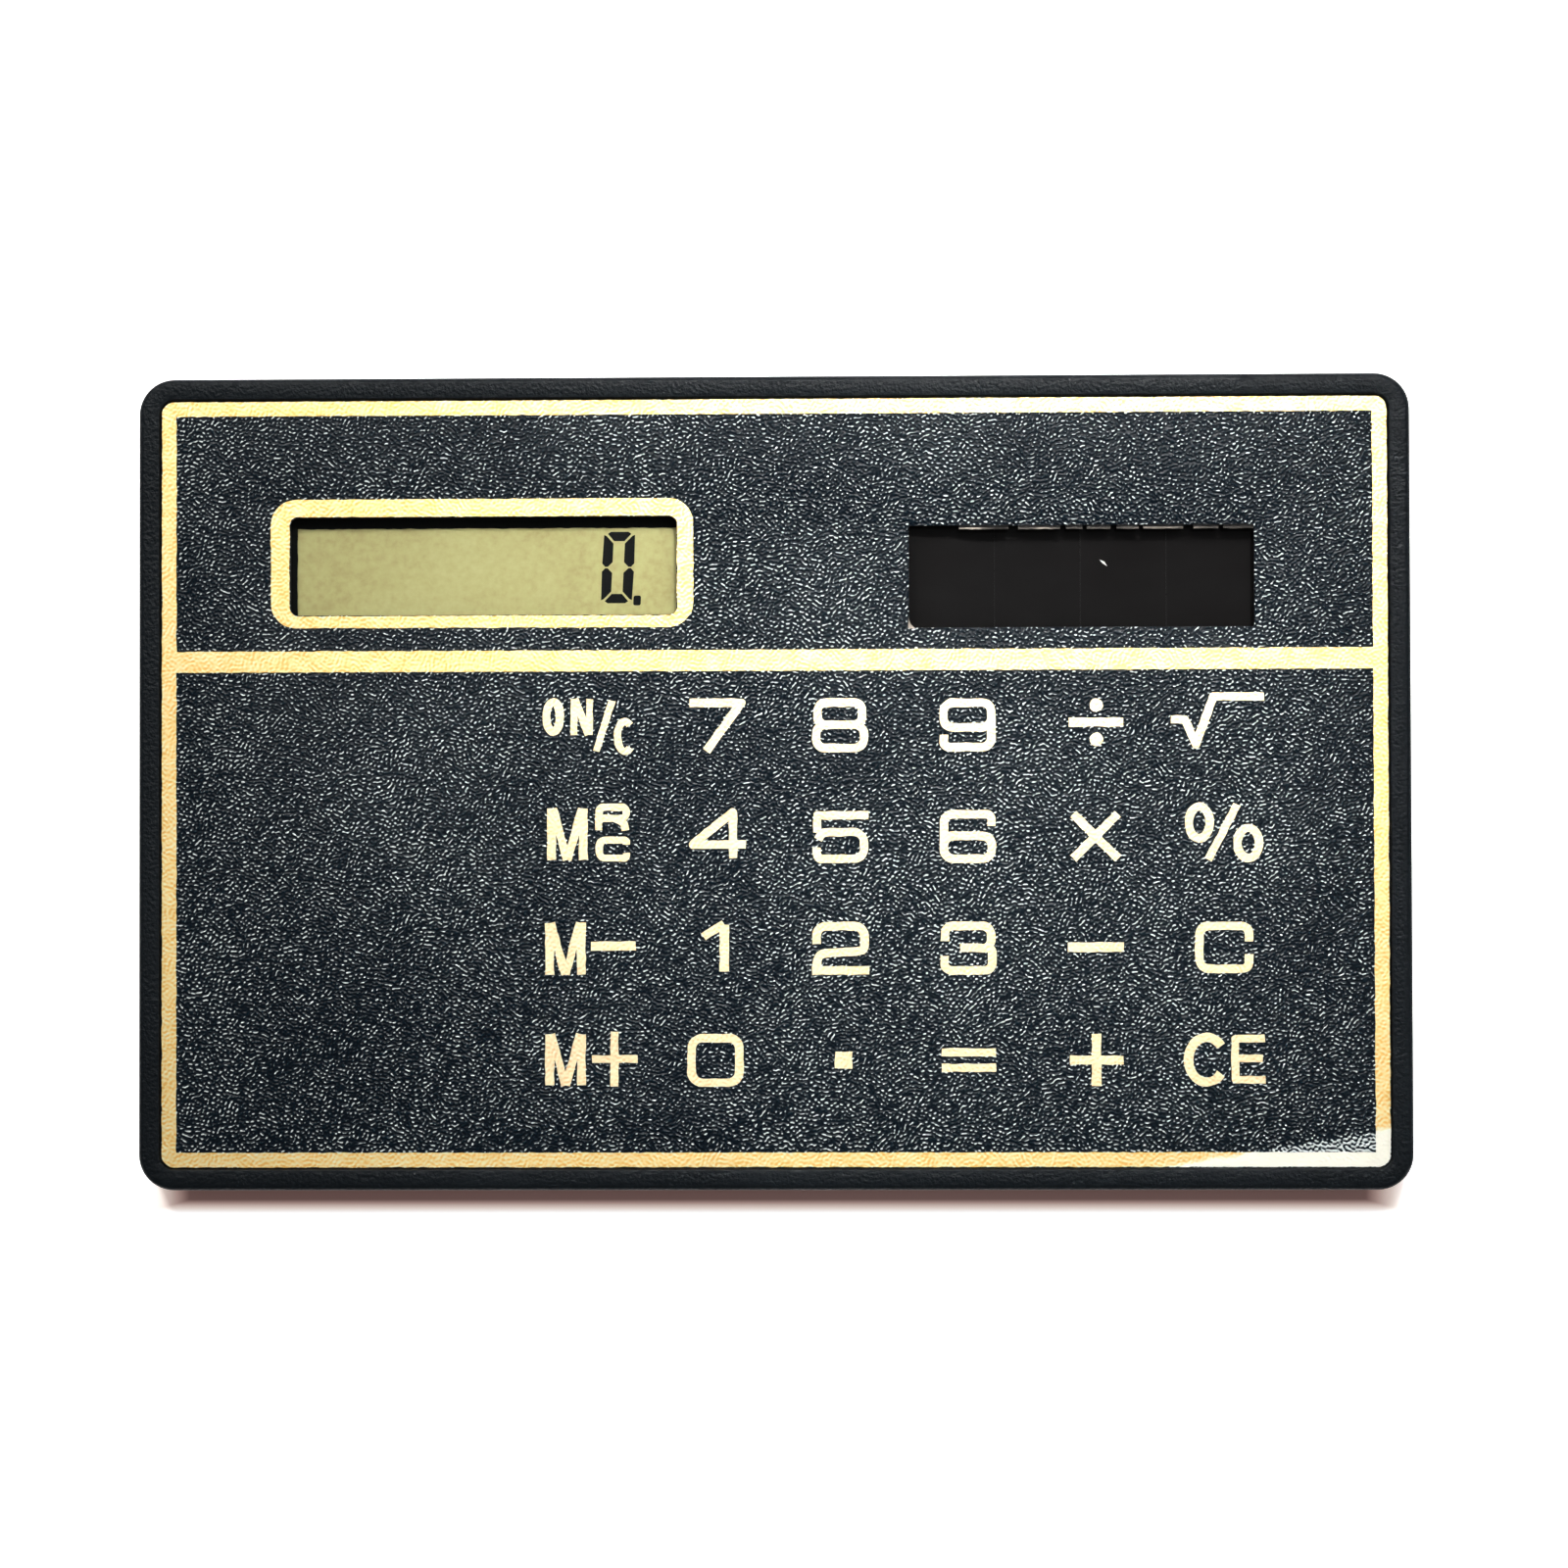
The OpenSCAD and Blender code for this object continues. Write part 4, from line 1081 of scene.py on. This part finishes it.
columns = sorted({round(x, 3) for x, _ in key_places.values()})
rows = sorted({round(y, 3) for _, y in key_places.values()})
column_gap = columns[1] - columns[0]
mat_posts = [((columns[a] + columns[a + 1]) / 2, (rows[b] + rows[b + 1]) / 2)
             for a in (0, 4) for b in (0, 2)]
shape = bmesh.new()
mat_outline = rectangle(mat_low.x, mat_low.y, mat_high.x, mat_high.y, 0.4)
mat_holes = [circle(DOME_FOOT_R - DOME_WALL, centre) for centre in key_places.values()]
mat_holes += [circle(PIN_HOLE_R, centre) for centre in mat_posts]
for loop in [mat_outline] + mat_holes:
    wall(shape, [lifted(loop, mat_low.z), lifted(loop, sheet_top)])
fill(shape, mat_outline, mat_holes, mat_low.z, False)
fill(shape, mat_outline, mat_holes, sheet_top, True)
mat_sheet = finished(shape, "key_mat_sheet", silicone)
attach(mat_sheet, BODY)
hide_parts("key_mat")

boss_r = DOME_TOP_R - DOME_WALL
for body, centre in key_places.items():
    key = body.removesuffix("_body")
    shape = bmesh.new()
    section = [(DOME_FOOT_R, sheet_top), (DOME_FOOT_R - 0.3, sheet_top + 0.2),
               (DOME_TOP_R + 0.1, mat_high.z - 0.08), (DOME_TOP_R, mat_high.z), (boss_r, mat_high.z),
               (DOME_FOOT_R - 0.3 - DOME_WALL, sheet_top + 0.17), (DOME_FOOT_R - DOME_WALL, sheet_top)]
    wall(shape, [lifted(circle(radius, centre), z) for radius, z in section], closed=True)
    dome = finished(shape, key + "_dome", silicone)
    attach(dome, BODY)
    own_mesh(dome)
    shape = bmesh.new()
    add_block(shape, boss_r, boss_r, boss_r, centre, PILL_TOP_Z, mat_high.z, 0)
    boss_faces = len(shape.faces)
    add_block(shape, PILL_R, PILL_R, PILL_R, centre, pill_low.z + COMB_T + COMB_GAP, PILL_TOP_Z, 0.05)
    shape.faces.ensure_lookup_table()
    for face in shape.faces[boss_faces:]:
        face.material_index = 1
    contact = finished(shape, key + "_contact", silicone, carbon)
    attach(contact, body)
    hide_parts("contact_pills")

# Circuit board --------------------------------------------------------------------------------
# Thin green glass-fibre board with its tracks under the solder mask. A pair of printed carbon combs
# lies under each pill, which joins them when the key is down.
COMB_BARS = 7
COMB_STEP = 0.36
COMB_SIZE = (0.18, 2.3, COMB_T)

board_finish = new_finish("circuit_board", (0.012, 0.1, 0.04), 0.35)
tracks = node(board_finish, "TexBrick", {"Vector": place(board_finish), "Scale": 1.0, "Mortar Size": 0.09,
                                         "Mortar Smooth": 0.1, "Brick Width": 3.4, "Row Height": 0.8}, 1)
shade = weighed(board_finish, tracks, 0.6, noise(board_finish, 0.2, 3), 0.4)
tint(board_finish, shade, (0.15, (0.01, 0.085, 0.032)), (0.35, (0.014, 0.11, 0.045)),
     (0.7, (0.05, 0.24, 0.11)))
gloss(board_finish, tracks, 0, 1, 0.38, 0.26)
relief(board_finish, tracks, 0.02)
give(board_finish, "circuit_board")
board_top = cad_box("circuit_board")[1].z
comb_middle = ((columns[0] + columns[-1]) / 2, (rows[0] + rows[-1]) / 2, board_top + COMB_T / 2)
combs = bars("contact_combs", carbon, comb_middle, COMB_BARS, (COMB_STEP, 0, 0), COMB_SIZE,
             len(columns), len(rows), (columns[-1] - columns[0], rows[-1] - rows[0]))
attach(combs, BODY)

# Chip and small parts -------------------------------------------------------------------------
# The bare silicon chip is bonded to the board and sealed under a drop of black epoxy. Around it are a
# storage capacitor, three filter capacitors, four resistors and a clamp diode, all with tinned ends.
TIN_SHARE = 0.3


def tinned(name, body_dark, body_light, roughness, part):
    """A small part's finish: its own colour between bright tinned ends, told apart by place along X."""
    finish = new_finish(name, body_dark, roughness)
    low, high = cad_box(part)
    from_middle = sum_up(finish, "SUBTRACT", coordinate(finish, 0), (low.x + high.x) / 2)
    end = sum_up(finish, "GREATER_THAN", sum_up(finish, "ABSOLUTE", from_middle, 0.0),
                 (high.x - low.x) * TIN_SHARE)
    mottle = noise(finish, 1.5, 3)
    value = weighed(finish, mottle, 0.4, end, 0.6)
    tint(finish, value, (0.1, body_dark), (0.34, body_light), (0.62, (0.5, 0.51, 0.52)),
         (0.9, (0.72, 0.73, 0.74)))
    link(finish, end, "Metallic")
    gloss(finish, mottle, 0.3, 0.7, roughness * 0.8, roughness * 1.2)
    relief(finish, mottle, 0.015)
    return finish


resin = moulded("resin", (0.007, 0.007, 0.007), (0.012, 0.012, 0.012), 0.2, 0.9, 0.03)
silicon = moulded("silicon", (0.06, 0.068, 0.085), (0.09, 0.1, 0.12), 0.14, 6, 0.002, Metallic=0.5)
give(resin, "chip_encapsulant")
give(silicon, "calculator_chip")
give(tinned("capacitor_case", (0.5, 0.27, 0.04), (0.62, 0.36, 0.06), 0.42, "storage_capacitor"),
     "storage_capacitor")
give(tinned("ceramic", (0.2, 0.13, 0.08), (0.28, 0.19, 0.12), 0.5, "filter_capacitors"), "filter_capacitors")
give(tinned("resistor_body", (0.012, 0.012, 0.015), (0.025, 0.025, 0.03), 0.4, "resistors"), "resistors")
give(tinned("diode_body", (0.5, 0.32, 0.18), (0.66, 0.48, 0.32), 0.18, "clamp_diode"), "clamp_diode")

# Leads and solder -----------------------------------------------------------------------------
# Two thin insulated wires bring the cell's current to the board, red from its near end and blue-black
# from its far end, with a bead of solder at each end.
red_wire = moulded("red_insulation", (0.33, 0.012, 0.012), (0.42, 0.022, 0.018), 0.35, 4, 0.004)
black_wire = moulded("black_insulation", (0.012, 0.013, 0.025), (0.02, 0.022, 0.038), 0.35, 4, 0.004)
solder = moulded("solder", (0.5, 0.51, 0.52), (0.66, 0.67, 0.68), 0.24, 2.5, 0.02, Metallic=1.0)
give(red_wire, "solar_lead_positive")
give(black_wire, "solar_lead_negative")
give(solder, "solder_joints")

# Rear cover -----------------------------------------------------------------------------------
# A flat charcoal plate that closes the back. It stands a little proud of the frame, so the calculator
# rests on it. Its outside is spark-eroded to a fine matt grain, its edge is softly rounded, and ribs
# inside press on the board. A ring of adhesive holds it in its seat.
COVER_R = 0.82
COVER_EDGE = 0.14
RIB_W = 1.0
cover_plastic = moulded("cover_plastic", (0.009, 0.01, 0.011), (0.014, 0.0155, 0.0165), 0.55, 7, 0.02)
give(adhesive, "rear_adhesive")
cover_low, cover_high = cad_box("rear_cover")
cover_top = cad_box("rear_adhesive")[0].z
shape = bmesh.new()
section = arc((COVER_EDGE, cover_low.z + COVER_EDGE), COVER_EDGE, 270, 180) + [(0, cover_top)]
loops = skirt(shape, cover_high.x, cover_high.y, COVER_R, (0, 0), section)
fill(shape, loops[0], [], cover_low.z, False)
fill(shape, loops[-1], [], cover_top, True)
field_half = (columns[-1] - columns[0] + column_gap) / 2
ribs = [((columns[0] + columns[-1]) / 2, y, field_half) for y in rows]
ribs.append((display_x, display_y, DISPLAY_W / 2 + 2))
for x, y, half_length in ribs:
    add_block(shape, half_length, RIB_W / 2, 0.15, (x, y), cover_top, cover_high.z, 0)
rear_cover = finished(shape, "rear_cover_plate", cover_plastic)
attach(rear_cover, BODY)
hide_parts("rear_cover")
